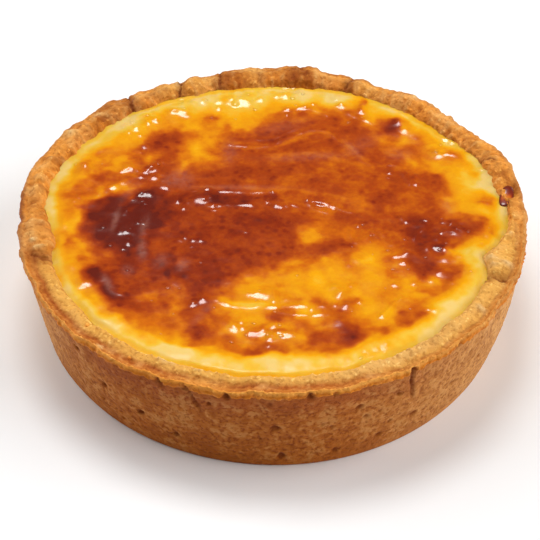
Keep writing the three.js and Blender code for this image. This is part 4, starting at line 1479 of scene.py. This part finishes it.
def browning_at(x, y):
    """How far the skin is browned, from 0 at the pale edge to about 1."""
    wx, wy = x + ground(x, y, *WANDER_ACROSS), y + ground(x, y, *WANDER_ALONG)
    angle = np.degrees(np.arctan2(y, x))
    backward = np.sin(np.radians(angle))
    inset = EDGE_RADIUS + edge_shift(angle) - np.hypot(x, y)
    ring = LEAST_RING + sum_round(WIDER_RINGS, angle, 2) + ground(x, y, RING_WANDER)
    ring_tone = RING_BROWNING + sum_round(YELLOWER_RINGS, angle, 2) * smooth(inset, 0.8, 2.8)
    # The ring's mottle holds painted light on the pillows' tops and painted shade between them
    ring_tone += ground(x, y, *RING_MOTTLE_AND_PILLOW_SHADE)
    ends, begins = RING_INSIDE
    browning = mix(ring_tone, BARE_BROWNING, smooth(inset, ends * ring, begins * ring))
    # Yellower custard and painted contact shade against the pastry
    at_front = smooth(-backward, 0.3, 0.8) * (1 - smooth(inset, 0.3, 2.0))
    at_front *= 1 - 0.8 * near(angle, *PALER_FRONT_EDGE)
    at_back = smooth(backward, 0.2, 0.7) * (1 - smooth(inset, 0.3, 1.6))
    browning = np.maximum(browning, FRONT_EDGE_TINT_AND_SHADE * at_front)
    browning = np.maximum(browning, BACK_EDGE_TINT_AND_SHADE * at_back)

    crispness = mix(1.0, FRONT_CRISPNESS, smooth(-y, *CRISP_FRONT))
    for level, softness, outline in BROWNED_AREAS:
        edge = softness / 2 * crispness
        browning = mix(browning, level, smooth(signed_distance(wx, wy, outline) / edge, -1, 1))
    for *place, level in BROWNED_SPOTS:
        browning = mix(browning, level, patch(wx, wy, place))
    browning = browning + sum_places(x, y, BAKING_SHIFTS)

    mottle = ground(wx, wy, *SKIN_MOTTLE) + ground(x, y, FINE_MOTTLE)
    half_browned = hill(browning - HALF_BROWNED, HALF_BROWNED_SPREAD)
    mottle += half_browned * (ground(wx, wy, HALF_BROWNED_MOTTLE) + ground(x, wy, DRAWN_MOTTLE))
    mottle += smooth(browning, *DARK_BROWNING) * ground(x, y, DARK_MOTTLE)
    mottle -= STREAK_PALENESS * streaks_at(x, y)
    # Painted highlights along the skin's folds
    line_x, line_y = x + ground(x, y, LINE_BEND_ACROSS), y + ground(x, y, LINE_BEND_ALONG)
    for strength, points in FOLD_HIGHLIGHT_LINES:
        away = distance_to_line(line_x, line_y, curve_through(points))
        mottle -= FOLD_HIGHLIGHT_PALENESS * strength * hill(away, FOLD_HIGHLIGHT_WIDTH)
    return np.clip(browning + mottle * smooth(browning, *MOTTLED_BROWNING), 0, MOST_BROWNING)


def streaks_at(x, y):
    """Fine ridges of drawn-up skin, mostly between -1 and 1."""
    total = np.zeros_like(x)
    for number, (middle_x, middle_y, reach, heading, strength) in enumerate(SKIN_STREAKS):
        along, across = along_and_across(x, y, middle_x, middle_y, heading)
        across = across + ground(x, y, (*STREAK_BEND, STREAK_BEND_DRAW + number))
        ridges = rolling(along / STREAK_LENGTH, across / STREAK_WIDTH, 1, STREAK_DRAW + number)
        total += strength * ridges * hill(np.hypot(x - middle_x, y - middle_y), reach)
    return total


def beading_at(x, y):
    """How bubbly the skin is, from 0 to 1."""
    return np.clip(sum_places(x, y, BEADED_PLACES), 0, 1)


def skin_height(x, y, browning, custard):
    """How far the skin stands above the custard's level, in millimetres."""
    inset = EDGE_RADIUS - np.hypot(x, y)
    bands = (PUFF_BAND, EDGE_LUMPS_BAND, PILLOW_BAND)
    puffed, lumpy, pillowed = (hill(inset - at, width) for at, width in bands)
    relief = custard.puff / MM * puffed + ground(x, y, *SKIN_SWELLS)
    relief += BROWNED_RISE * smooth(browning, *RISEN_BROWNING) + STREAK_RISE * streaks_at(x, y)
    relief += mix(*LUMPS_RISE, beading_at(x, y)) * ground(x, y, SKIN_LUMPS)
    relief += mix(*EDGE_LUMPS_RISE, backness(x, y)) * lumpy * ground(x, y, EDGE_LUMPS)
    relief += pillowed * ground(x, y, PILLOWS)
    bend_x, bend_y = x + ground(x, y, FOLD_BEND_ACROSS), y + ground(x, y, FOLD_BEND_ALONG)
    broken = FOLD_WHOLENESS + ground(x, y, FOLD_BREAKS)
    for points, rise, width in SKIN_FOLDS:
        away = distance_to_line(bend_x, bend_y - SHINE_BEFORE * width, curve_through(points))
        relief += min(rise, STEEPEST_SHINE * width) * broken * hill(away, width)
    for shine_x, shine_y, width, rise in bubbles():
        away = np.hypot(bend_x - shine_x, bend_y - shine_y - SHINE_BEFORE * width)
        relief += min(rise, STEEPEST_SHINE * width) * hill(away, width)
    return relief


def bubbles():
    """Every blister and the smaller ones round it: x, y, half width, rise."""
    draw = np.random.default_rng(BLISTER_SEED)
    for x, y, width, rise in BLISTERS:
        yield x, y, BLISTER_SHARE * width, BLISTER_SHARE * rise
        for _ in range(SATELLITES):
            turn = draw.uniform(0, 2 * math.pi)
            away = width * draw.uniform(*SATELLITE_REACH)
            size = draw.uniform(*SATELLITE_SIZE)
            yield x + away * math.cos(turn), y + away * math.sin(turn), size * width, size * rise


def custard_mesh(pastry, custard):
    """Vertices, faces and point values of the custard before its wrinkles are raised."""
    grid_x, grid_y = disc_grid(SKIN_COUNT)
    reach = np.hypot(grid_x, grid_y).ravel()
    angle = np.degrees(np.arctan2(grid_y, grid_x)).ravel()
    edge = EDGE_RADIUS + CUSTARD_TUCK
    x, y = around(angle, reach * edge + edge_shift(angle) * smooth(reach, *UNEVEN_REACH))
    browning = browning_at(x, y)
    inset = (1 - reach) * edge
    height = custard.level / MM + skin_height(x, y, browning, custard) * smooth(inset, *RELIEF_INSET)
    climb = mix(-custard.edge_drop, custard.edge_climb, smooth(np.sin(np.radians(angle)), *CLIMB_TURN)) / MM
    height += climb * (1 - smooth(inset, *CLIMB_INSET))
    top = np.stack([x, y, height], 1)

    index = np.arange(SKIN_COUNT**2).reshape(SKIN_COUNT, SKIN_COUNT)
    quads = np.stack([index[:-1, :-1], index[:-1, 1:], index[1:, 1:], index[1:, :-1]], -1).reshape(-1, 4)
    border = np.concatenate([index[0, :-1], index[:-1, -1], index[-1, :0:-1], index[:0:-1, 0]])
    floor = FLOOR_THICKNESS + FILLING_GAP
    steps = (pastry.lip_height / MM * INNER_WALL_TOP, INNER_WALL_FOOT + FILLING_GAP, floor)
    rings, previous, faces = [top], border, quads.tolist()
    for step in steps:
        level = np.full(len(border), step)
        wall = inner_wall(step, pastry) - FILLING_GAP + rim_share(level) * edge_shift(angle[border])
        wall -= FLOOR_CORNER * (step == floor)
        current = sum(map(len, rings)) + np.arange(len(border))
        rings.append(np.stack([*around(angle[border], wall), level], 1))
        faces += np.stack([previous, current, np.roll(current, -1), np.roll(previous, -1)], 1).tolist()
        previous = current
    middle = sum(map(len, rings))
    rings.append(np.array([[0, 0, floor]]))
    faces += [(int(a), middle, int(b)) for a, b in zip(previous, np.roll(previous, -1))]
    vertices = np.concatenate(rings)

    # Milky film and painted sheen
    film = sum(amount * patch(x, y, place) for *place, amount in FILMS_AND_SHEEN)
    film += STREAK_SHEEN * smooth(streaks_at(x, y), *SHEEN_RIDGES) * smooth(browning, *SHEEN_BROWNING)
    beading = beading_at(x, y) * smooth(inset, *BEADED_INSET)
    glaze = mix(LEAST_GLAZE, 1, smooth(browning, *GLAZED_BROWNING))
    glaze = np.maximum(glaze, smooth(beading, *GLAZED_BEADING))
    values = {
        "browning": browning,
        "film": np.clip(film, 0, 1),
        "beading": beading,
        "glaze": np.maximum(glaze, backness(x, y)),
        "wrinkled": smooth(browning, *WRINKLED_BROWNING) * smooth(inset, *WRINKLED_INSET),
        "skin": smooth(inset, *RIPPLED_INSET),
    }
    below = np.zeros(len(vertices) - len(top))
    return vertices, faces, {name: np.concatenate([value, below]) for name, value in values.items()}


def skin_tree(custard):
    """Raises soft wrinkles and fine ripples on the custard's skin."""
    sizes = ("Wrinkle Size", "Wrinkle Depth", "Ripple Size", "Ripple Depth")
    tree, given = shape_tree("skin_relief", custard, sizes)
    total = 0.0
    for name, detail, weight in (("Wrinkle", 2.0, "wrinkled"), ("Ripple", 1.0, "skin")):
        scale = calc(tree, "DIVIDE", 1.0, given[name + " Size"])
        waves = swell(tree, scale, given[name + " Depth"], detail, SKIN_DISTORTION)
        waves = times(tree, waves, named_value(tree, weight))
        total = calc(tree, "ADD", total, waves)
    offset = add(tree, "ShaderNodeCombineXYZ", {"Z": total})
    moved = add(tree, "GeometryNodeSetPosition", {"Geometry": given["Geometry"], "Offset": out(offset)})
    end_tree(tree, out(moved), given["Finish"])
    return tree


def spheres_on(tree, spots, rotation, scale):
    """Spheres set on strewn points, turned and scaled."""
    sphere = add(tree, "GeometryNodeMeshIcoSphere", {"Radius": 1.0, "Subdivisions": 2})
    inputs = {
        "Points": out(spots, "Points"),
        "Instance": out(sphere, "Mesh"),
        "Rotation": rotation,
        "Scale": scale,
    }
    return out(add(tree, "GeometryNodeInstanceOnPoints", inputs))


def bead_tree(custard):
    """Scatters small domes of glaze where the skin is beaded."""
    tree, given = shape_tree("glaze_beads", custard, ("Bead Radius", "Bead Spacing", "Seed"))
    spots = strewn_points(tree, given, "Bead Spacing", MOST_BEADS, "beading")
    largest = given["Bead Radius"]
    size = drawn(tree, given, times(tree, largest, LEAST_BEAD), largest)
    width, tall = (times(tree, size, share) for share in (BEAD_WIDTH, BEAD_HEIGHT))
    flat = add(tree, "ShaderNodeCombineXYZ", {"X": size, "Y": width, "Z": tall})
    end_tree(tree, spheres_on(tree, spots, out(spots, "Rotation"), out(flat)), given["Finish"])
    return tree


def crumb_tree(pastry):
    """Scatters loose crumbs over the rim, each one knocked out of round."""
    tree, given = shape_tree("loose_crumbs", pastry, ("Crumb Size", "Crumb Spacing", "Seed"))
    spots = strewn_points(tree, given, "Crumb Spacing", MOST_CRUMBS, "rim_top")
    largest = times(tree, given["Crumb Size"], 0.5)
    size = drawn(tree, given, times(tree, largest, LEAST_CRUMB), largest)
    turn = drawn(tree, given, (0.0, 0.0, 0.0), ANY_TURN, "FLOAT_VECTOR")
    real = add(tree, "GeometryNodeRealizeInstances", {"Geometry": spheres_on(tree, spots, turn, size)})
    knocked = push_out(tree, out(real), swell(tree, CRUMB_WAVES, largest, 1.0))
    end_tree(tree, knocked, given["Finish"])
    return tree


def opaque(colour):
    """A screen colour as the renderer takes it, with its alpha."""
    return (*linear(colour), 1)


def shader_group(name, inputs, outputs):
    """An empty shader node group: its tree, its inputs by name and its exit node."""
    tree = bpy.data.node_groups.new(name, "ShaderNodeTree")
    for label, kind, value in inputs:
        socket = tree.interface.new_socket(label, in_out="INPUT", socket_type="NodeSocket" + kind)
        socket.default_value = value
    for label, kind in outputs:
        tree.interface.new_socket(label, in_out="OUTPUT", socket_type="NodeSocket" + kind)
    entry = tree.nodes.new("NodeGroupInput")
    exit_node = tree.nodes.new("NodeGroupOutput")
    return tree, {s.name: s for s in entry.outputs if s.name}, exit_node


def noise_at(tree, size, detail=2.0, distortion=0.0):
    """Noise on the object's own coordinates, with features of a size in metres."""
    place = out(add(tree, "ShaderNodeTexCoord"), "Object")
    inputs = {"Vector": place, "Scale": 1 / size, "Detail": detail, "Distortion": distortion}
    return out(add(tree, "ShaderNodeTexNoise", inputs))


def specks_at(tree, spacing):
    """Round specks on the object's own coordinates, 1 in the middle of each and 0 between them."""
    place = out(add(tree, "ShaderNodeTexCoord"), "Object")
    cells = add(tree, "ShaderNodeTexVoronoi", {"Vector": place, "Scale": 1 / spacing})
    return ramp_between(tree, out(cells, "Distance"), 0.42, 0.1)


def colour_mix(tree, blend, share, first, second):
    """Two colours blended by a share."""
    node = add(tree, "ShaderNodeMix", data_type="RGBA", blend_type=blend)
    for place, value in ((0, share), (6, first), (7, second)):
        if isinstance(value, bpy.types.NodeSocket):
            tree.links.new(value, node.inputs[place])
        else:
            node.inputs[place].default_value = value
    return node.outputs[2]


def crust_mottling_group(pastry):
    """Baked mottling: pale grains and dark toasted flecks over a crust's colour."""
    tree, given, exit_node = shader_group(
        "crust_mottling",
        (("Color", "Color", opaque(pastry.wall_colour)), ("Strength", "Float", 1.0)),
        (("Color", "Color"), ("Height", "Float")),
    )
    broad = noise_at(tree, BLOTCH_SIZE, 3.0)
    fleck = noise_at(tree, FLECK_SIZE, 4.0)
    grain = noise_at(tree, GRAIN_SIZE, 3.0)
    blotch = calc(tree, "MULTIPLY_ADD", calc(tree, "SUBTRACT", broad, 0.5), 0.8, fleck)
    dark, pale, speck = (
        times(tree, ramp_between(tree, noise, low, high), given["Strength"])
        for noise, low, high in ((blotch, 0.52, 0.36), (blotch, 0.5, 0.68), (grain, 0.47, 0.34))
    )
    toasted = colour_mix(tree, "MULTIPLY", dark, given["Color"], FLECK_SHADE)
    pale = times(tree, pale, 0.15)
    golden = colour_mix(tree, "MIX", pale, toasted, opaque(pastry.grain_colour))
    specked = colour_mix(tree, "MULTIPLY", speck, golden, SPECK_SHADE)
    height = calc(tree, "ADD", times(tree, grain, 0.5), times(tree, fleck, 0.5))
    tree.links.new(specked, exit_node.inputs["Color"])
    tree.links.new(height, exit_node.inputs["Height"])
    return tree


def browning_group(custard):
    """Colours of the baked skin by how far it is browned, with uneven edges and fine specks."""
    tree, given, exit_node = shader_group(
        "browned_skin", (("Browning", "Float", 0.5),), (("Color", "Color"), ("Fleck", "Float"))
    )
    browning = given["Browning"]
    patchy = noise_at(tree, SKIN_PATCH_SIZE, 2.0, 0.8)
    speck = noise_at(tree, SKIN_SPECK_SIZE, 2.0)
    dots = times(tree, specks_at(tree, SKIN_DOT_SPACING), ramp_between(tree, browning, 0.45, 0.75))
    uneven = times(tree, calc(tree, "SUBTRACT", patchy, 0.5), 0.24)
    uneven = calc(tree, "MULTIPLY_ADD", calc(tree, "SUBTRACT", speck, 0.5), 0.14, uneven)
    uneven = times(tree, uneven, ramp_between(tree, browning, 0.02, 0.4, 0.4))
    uneven = calc(tree, "MULTIPLY_ADD", dots, 0.09, uneven)
    stops = add(tree, "ShaderNodeValToRGB", {"Fac": calc(tree, "ADD", browning, uneven, clamp=True)})
    ramp = stops.color_ramp
    ramp.elements.remove(ramp.elements[1])
    for place, name in BROWNING_STOPS:
        stop = ramp.elements[0] if place == 0 else ramp.elements.new(place)
        stop.color = opaque(getattr(custard, name + "_colour"))
    tree.links.new(out(stops, "Color"), exit_node.inputs["Color"])
    tree.links.new(speck, exit_node.inputs["Fleck"])
    return tree


def new_finish(name, colour, values):
    """A material, its tree and its Principled shader with the given plain values."""
    finish = bpy.data.materials.new(name)
    finish.use_nodes = True
    finish.diffuse_color = opaque(colour)
    shader = finish.node_tree.nodes["Principled BSDF"]
    for label, value in values.items():
        shader.inputs[label].default_value = value
    return finish, finish.node_tree, shader


def point_value(tree, name, output="Fac"):
    """A value stored on the piece's points, for its finish."""
    return out(add(tree, "ShaderNodeAttribute", attribute_name=name), output)


def bump(tree, shader, height, depth):
    """Gives a finish fine relief that only its shading shows."""
    node = add(tree, "ShaderNodeBump", {"Height": height, "Strength": 1.0, "Distance": depth})
    tree.links.new(out(node), shader.inputs["Normal"])


def crust_finish(pastry, mottling):
    """Matt baked shortcrust, with painted shade in its pits, cracks and crumb gaps and painted light on the
    tops of its crumbs.
    """
    values = {"Roughness": 0.62, "Specular IOR Level": 0.12}
    finish, tree, shader = new_finish("baked_crust", pastry.wall_colour, values)
    strength = calc(tree, "MULTIPLY_ADD", point_value(tree, "wall"), 0.75, 0.65)
    inputs = {"Strength": strength, "Color": point_value(tree, "tone", "Color")}
    mottled = add(tree, "ShaderNodeGroup", inputs, node_tree=mottling)
    shown = calc(tree, "MULTIPLY_ADD", point_value(tree, "rim_top"), 0.5, 0.5)
    # Painted shade in the gaps between crumbs and painted light on their tops
    crumb = point_value(tree, "crumb")
    gap = times(tree, ramp_between(tree, crumb, 0.36, 0.62), shown)
    crumb_top_light = times(tree, ramp_between(tree, crumb, 0.3, 0.1), shown)
    crumbed = colour_mix(tree, "MULTIPLY", gap, mottled.outputs["Color"], GAP_SHADE)
    crumb_top_light = times(tree, crumb_top_light, 0.12)
    crumbed = colour_mix(tree, "MIX", crumb_top_light, crumbed, opaque(pastry.grain_colour))
    # Painted shade in pits and cracks
    hollow = calc(tree, "MAXIMUM", point_value(tree, "pit"), point_value(tree, "crack"), clamp=True)
    hollow = times(tree, hollow, 0.9)
    shaded = colour_mix(tree, "MIX", hollow, crumbed, opaque(pastry.hollow_shade_colour))
    tree.links.new(shaded, shader.inputs["Base Color"])
    bump(tree, shader, mottled.outputs["Height"], CRUST_BUMP)
    return finish


def crumb_finish(pastry, mottling):
    """Golden loose crumbs."""
    values = {"Roughness": 0.7, "Specular IOR Level": 0.1}
    finish, tree, shader = new_finish("loose_crumb", pastry.back_colour, values)
    inputs = {"Strength": 0.7, "Color": opaque(pastry.back_colour)}
    mottled = add(tree, "ShaderNodeGroup", inputs, node_tree=mottling)
    tree.links.new(mottled.outputs["Color"], shader.inputs["Base Color"])
    bump(tree, shader, mottled.outputs["Height"], CRUMB_BUMP)
    return finish


def skin_finish(custard, browned):
    """Browned custard under a thin clear glaze, with milky film and painted sheen laid into its colour."""
    values = {
        "Roughness": 0.38,
        "Specular IOR Level": 0.05,
        "Subsurface Weight": 0.15,
        "Subsurface Radius": (1.0, 0.45, 0.12),
        "Subsurface Scale": 0.0015,
        "Coat Roughness": 0.17,
        "Coat IOR": 1.7,
    }
    finish, tree, shader = new_finish("browned_custard", custard.amber_colour, values)
    skin = add(tree, "ShaderNodeGroup", {"Browning": point_value(tree, "browning")}, node_tree=browned)
    # Milky film and painted sheen, broken into streaks
    streaks = ramp_between(tree, noise_at(tree, SHEEN_STREAK_SIZE, 3.0, 1.0), 0.3, 0.6, 0.4)
    film = times(tree, times(tree, point_value(tree, "film"), streaks), 0.65)
    colour = colour_mix(tree, "MIX", film, skin.outputs["Color"], opaque(custard.film_colour))
    tree.links.new(colour, shader.inputs["Base Color"])
    tree.links.new(point_value(tree, "glaze"), shader.inputs["Coat Weight"])
    bump(tree, shader, skin.outputs["Fleck"], SKIN_BUMP)
    return finish


def bead_finish(custard, browned):
    """Clear glaze beads that take the colour of the skin below."""
    values = {"Roughness": 0.4, "Coat Weight": 1.0, "Coat Roughness": 0.16}
    finish, tree, shader = new_finish("glaze_bead", custard.amber_colour, values)
    skin = add(tree, "ShaderNodeGroup", {"Browning": point_value(tree, "browning")}, node_tree=browned)
    tree.links.new(skin.outputs["Color"], shader.inputs["Base Color"])
    return finish


def caramel_mesh(pastry):
    """A bead of caramel lying along the hollow in the rim."""
    line = curve_points(CARAMEL_LINE, CARAMEL_RINGS)
    share = np.linspace(0, 1, CARAMEL_RINGS)
    girth = CARAMEL_GIRTH * np.sqrt(np.clip(1 - np.abs(2 * share - 1) ** 2.6, 0, 1))
    turn = np.linspace(0, 2 * math.pi, CARAMEL_SIDES, endpoint=False)
    dome = hill(share - CARAMEL_DOME, CARAMEL_DOME_REACH)
    middle = pastry.lip_height / MM - CARAMEL_SUNK + 0.3 * share
    tall = CARAMEL_FLATNESS * (0.7 + 0.7 * dome) * girth
    rings = np.empty((CARAMEL_RINGS, CARAMEL_SIDES, 3))
    rings[..., 0] = line[:, :1] + girth[:, None] * np.cos(turn)
    rings[..., 1] = line[:, 1:]
    rings[..., 2] = middle[:, None] + tall[:, None] * np.sin(turn)
    body = rings[1:-1]
    vertices = np.concatenate([body.reshape(-1, 3), rings[0, :1], rings[-1, :1]])
    clear = hill(share[1:-1, None] - 0.42, 0.16) * smooth(np.sin(turn), 0.3, 0.95)
    browning = 0.98 - 0.52 * clear
    values = {"browning": np.concatenate([browning.ravel(), [1, 0.85]])}
    return vertices, tube_faces(len(body), CARAMEL_SIDES), values


class TART_OT_pastry_case(bpy.types.Operator):
    """Bake the shortcrust case"""

    bl_idname = "tart.pastry_case"
    bl_label = "Pastry Case"

    def execute(self, context):
        pastry = context.scene.tart_pastry
        piece = closed_object("pastry_case_baked", *case_mesh(pastry))
        run_tree(piece, crust_tree(pastry), pastry, crust_finish(pastry, crust_mottling_group(pastry)))
        fix_to_frame(piece, "pastry", "pastry_case")
        return {"FINISHED"}


class TART_OT_custard(bpy.types.Operator):
    """Fill the case with custard and brown its skin"""

    bl_idname = "tart.custard"
    bl_label = "Custard"

    def execute(self, context):
        custard = context.scene.tart_custard
        piece = closed_object("custard_baked", *custard_mesh(context.scene.tart_pastry, custard))
        run_tree(piece, skin_tree(custard), custard, skin_finish(custard, browning_group(custard)))
        fix_to_frame(piece, "custard", "custard")
        return {"FINISHED"}


class TART_OT_glaze_beads(bpy.types.Operator):
    """Bead the skin with glaze"""

    bl_idname = "tart.glaze_beads"
    bl_label = "Glaze Beads"

    def execute(self, context):
        custard = context.scene.tart_custard
        piece = copied_object("glaze_beads", "custard_baked")
        finish = bead_finish(custard, bpy.data.node_groups["browned_skin"])
        run_tree(piece, bead_tree(custard), custard, finish)
        fix_to_frame(piece, "custard")
        return {"FINISHED"}


class TART_OT_caramel(bpy.types.Operator):
    """Run caramel into the hollow of the rim"""

    bl_idname = "tart.caramel"
    bl_label = "Caramel"

    def execute(self, context):
        piece = closed_object("caramel_bead", *caramel_mesh(context.scene.tart_pastry))
        piece.data.materials.append(bpy.data.materials["glaze_bead"])
        fix_to_frame(piece, "custard")
        return {"FINISHED"}


class TART_OT_loose_crumbs(bpy.types.Operator):
    """Drop loose crumbs on the rim"""

    bl_idname = "tart.loose_crumbs"
    bl_label = "Loose Crumbs"

    def execute(self, context):
        pastry = context.scene.tart_pastry
        piece = copied_object("loose_crumbs", "pastry_case_baked")
        finish = crumb_finish(pastry, bpy.data.node_groups["crust_mottling"])
        run_tree(piece, crumb_tree(pastry), pastry, finish)
        fix_to_frame(piece, "pastry")
        return {"FINISHED"}


def aim(thing, target):
    """Turns a camera or light to look at a point."""
    thing.rotation_euler = (target - thing.location).to_track_quat("-Z", "Y").to_euler()


def area_light(name, place, size, power, target, mirrored=True):
    """A round soft light, which glossy surfaces may or may not mirror."""
    light = bpy.data.lights.new(name, "AREA")
    light.shape = "DISK"
    light.size = size
    light.energy = power
    lamp = bpy.data.objects.new(name, light)
    lamp.location = place
    lamp.visible_glossy = mirrored
    bpy.context.scene.collection.objects.link(lamp)
    aim(lamp, target)


class TART_OT_stage(bpy.types.Operator):
    """Set up the camera, the soft lights and the pale floor"""

    bl_idname = "tart.stage"
    bl_label = "Stage"

    def execute(self, context):
        scene = context.scene
        stage = scene.tart_stage
        low, high = CAD_BOX
        middle = Vector((0, 0, (low.z + high.z) / 2 - AIM_BELOW_MIDDLE))

        camera = bpy.data.cameras.new("camera")
        camera.sensor_width = SENSOR_WIDTH
        camera.lens = stage.focal_pixels * SENSOR_WIDTH / IMAGE_PIXELS
        camera.shift_x = 0.5 - stage.middle_x / IMAGE_PIXELS
        camera.shift_y = stage.middle_y / IMAGE_PIXELS - 0.5
        camera.clip_start = NEAREST_SEEN
        viewer = bpy.data.objects.new("camera", camera)
        back = Vector((0, -math.cos(stage.elevation), math.sin(stage.elevation)))
        viewer.location = middle + back * stage.distance
        scene.collection.objects.link(viewer)
        aim(viewer, middle)
        scene.camera = viewer

        area_light("key", KEY_PLACE, KEY_SIZE, stage.key_power, middle)
        softboxes = (("right", RIGHT_PLACE, stage.right_power), ("left", LEFT_PLACE, stage.left_power))
        for side, place, power in softboxes:
            shine = power * stage.softbox_shine
            area_light(side + "_softbox", place, SOFTBOX_SIZE, power - shine, middle, mirrored=False)
            area_light(side + "_shine", place, SOFTBOX_SIZE, shine, middle)

        world = bpy.data.worlds.new("sky")
        world.use_nodes = True
        background = world.node_tree.nodes["Background"]
        background.inputs["Strength"].default_value = stage.sky
        background.inputs["Color"].default_value = (1, 1, 1, 1)
        scene.world = world

        bpy.ops.mesh.primitive_plane_add(size=FLOOR_SIZE)
        floor = context.active_object
        floor.name = "floor"
        values = {"Base Color": opaque(stage.floor_colour), "Roughness": 0.9}
        finish, _, _ = new_finish("pale_floor", stage.floor_colour, values)
        floor.data.materials.append(finish)

        scene.view_settings.view_transform = "Standard"
        return {"FINISHED"}


class TART_PT_sidebar(bpy.types.Panel):
    """Lists the tart's pieces and settings"""

    bl_idname = "TART_PT_sidebar"
    bl_label = "Custard Tart"
    bl_space_type = "VIEW_3D"
    bl_region_type = "UI"
    bl_category = "Tart"

    def draw(self, context):
        for operator in OPERATORS:
            self.layout.operator(operator.bl_idname)
        for settings in (context.scene.tart_pastry, context.scene.tart_custard, context.scene.tart_stage):
            for label in settings.__annotations__:
                self.layout.prop(settings, label)


OPERATORS = (
    TART_OT_pastry_case,
    TART_OT_custard,
    TART_OT_glaze_beads,
    TART_OT_caramel,
    TART_OT_loose_crumbs,
    TART_OT_stage,
)
CLASSES = (PastrySettings, CustardSettings, StageSettings, *OPERATORS, TART_PT_sidebar)


def register():
    for cls in CLASSES:
        bpy.utils.register_class(cls)
    bpy.types.Scene.tart_pastry = PointerProperty(type=PastrySettings)
    bpy.types.Scene.tart_custard = PointerProperty(type=CustardSettings)
    bpy.types.Scene.tart_stage = PointerProperty(type=StageSettings)


def unregister():
    del bpy.types.Scene.tart_stage
    del bpy.types.Scene.tart_custard
    del bpy.types.Scene.tart_pastry
    for cls in reversed(CLASSES):
        bpy.utils.unregister_class(cls)


def main():
    """Makes every piece and the stage."""
    register()
    bpy.ops.tart.pastry_case()
    bpy.ops.tart.custard()
    bpy.ops.tart.glaze_beads()
    bpy.ops.tart.caramel()
    bpy.ops.tart.loose_crumbs()
    bpy.ops.tart.stage()


if __name__ == "__main__":
    main()
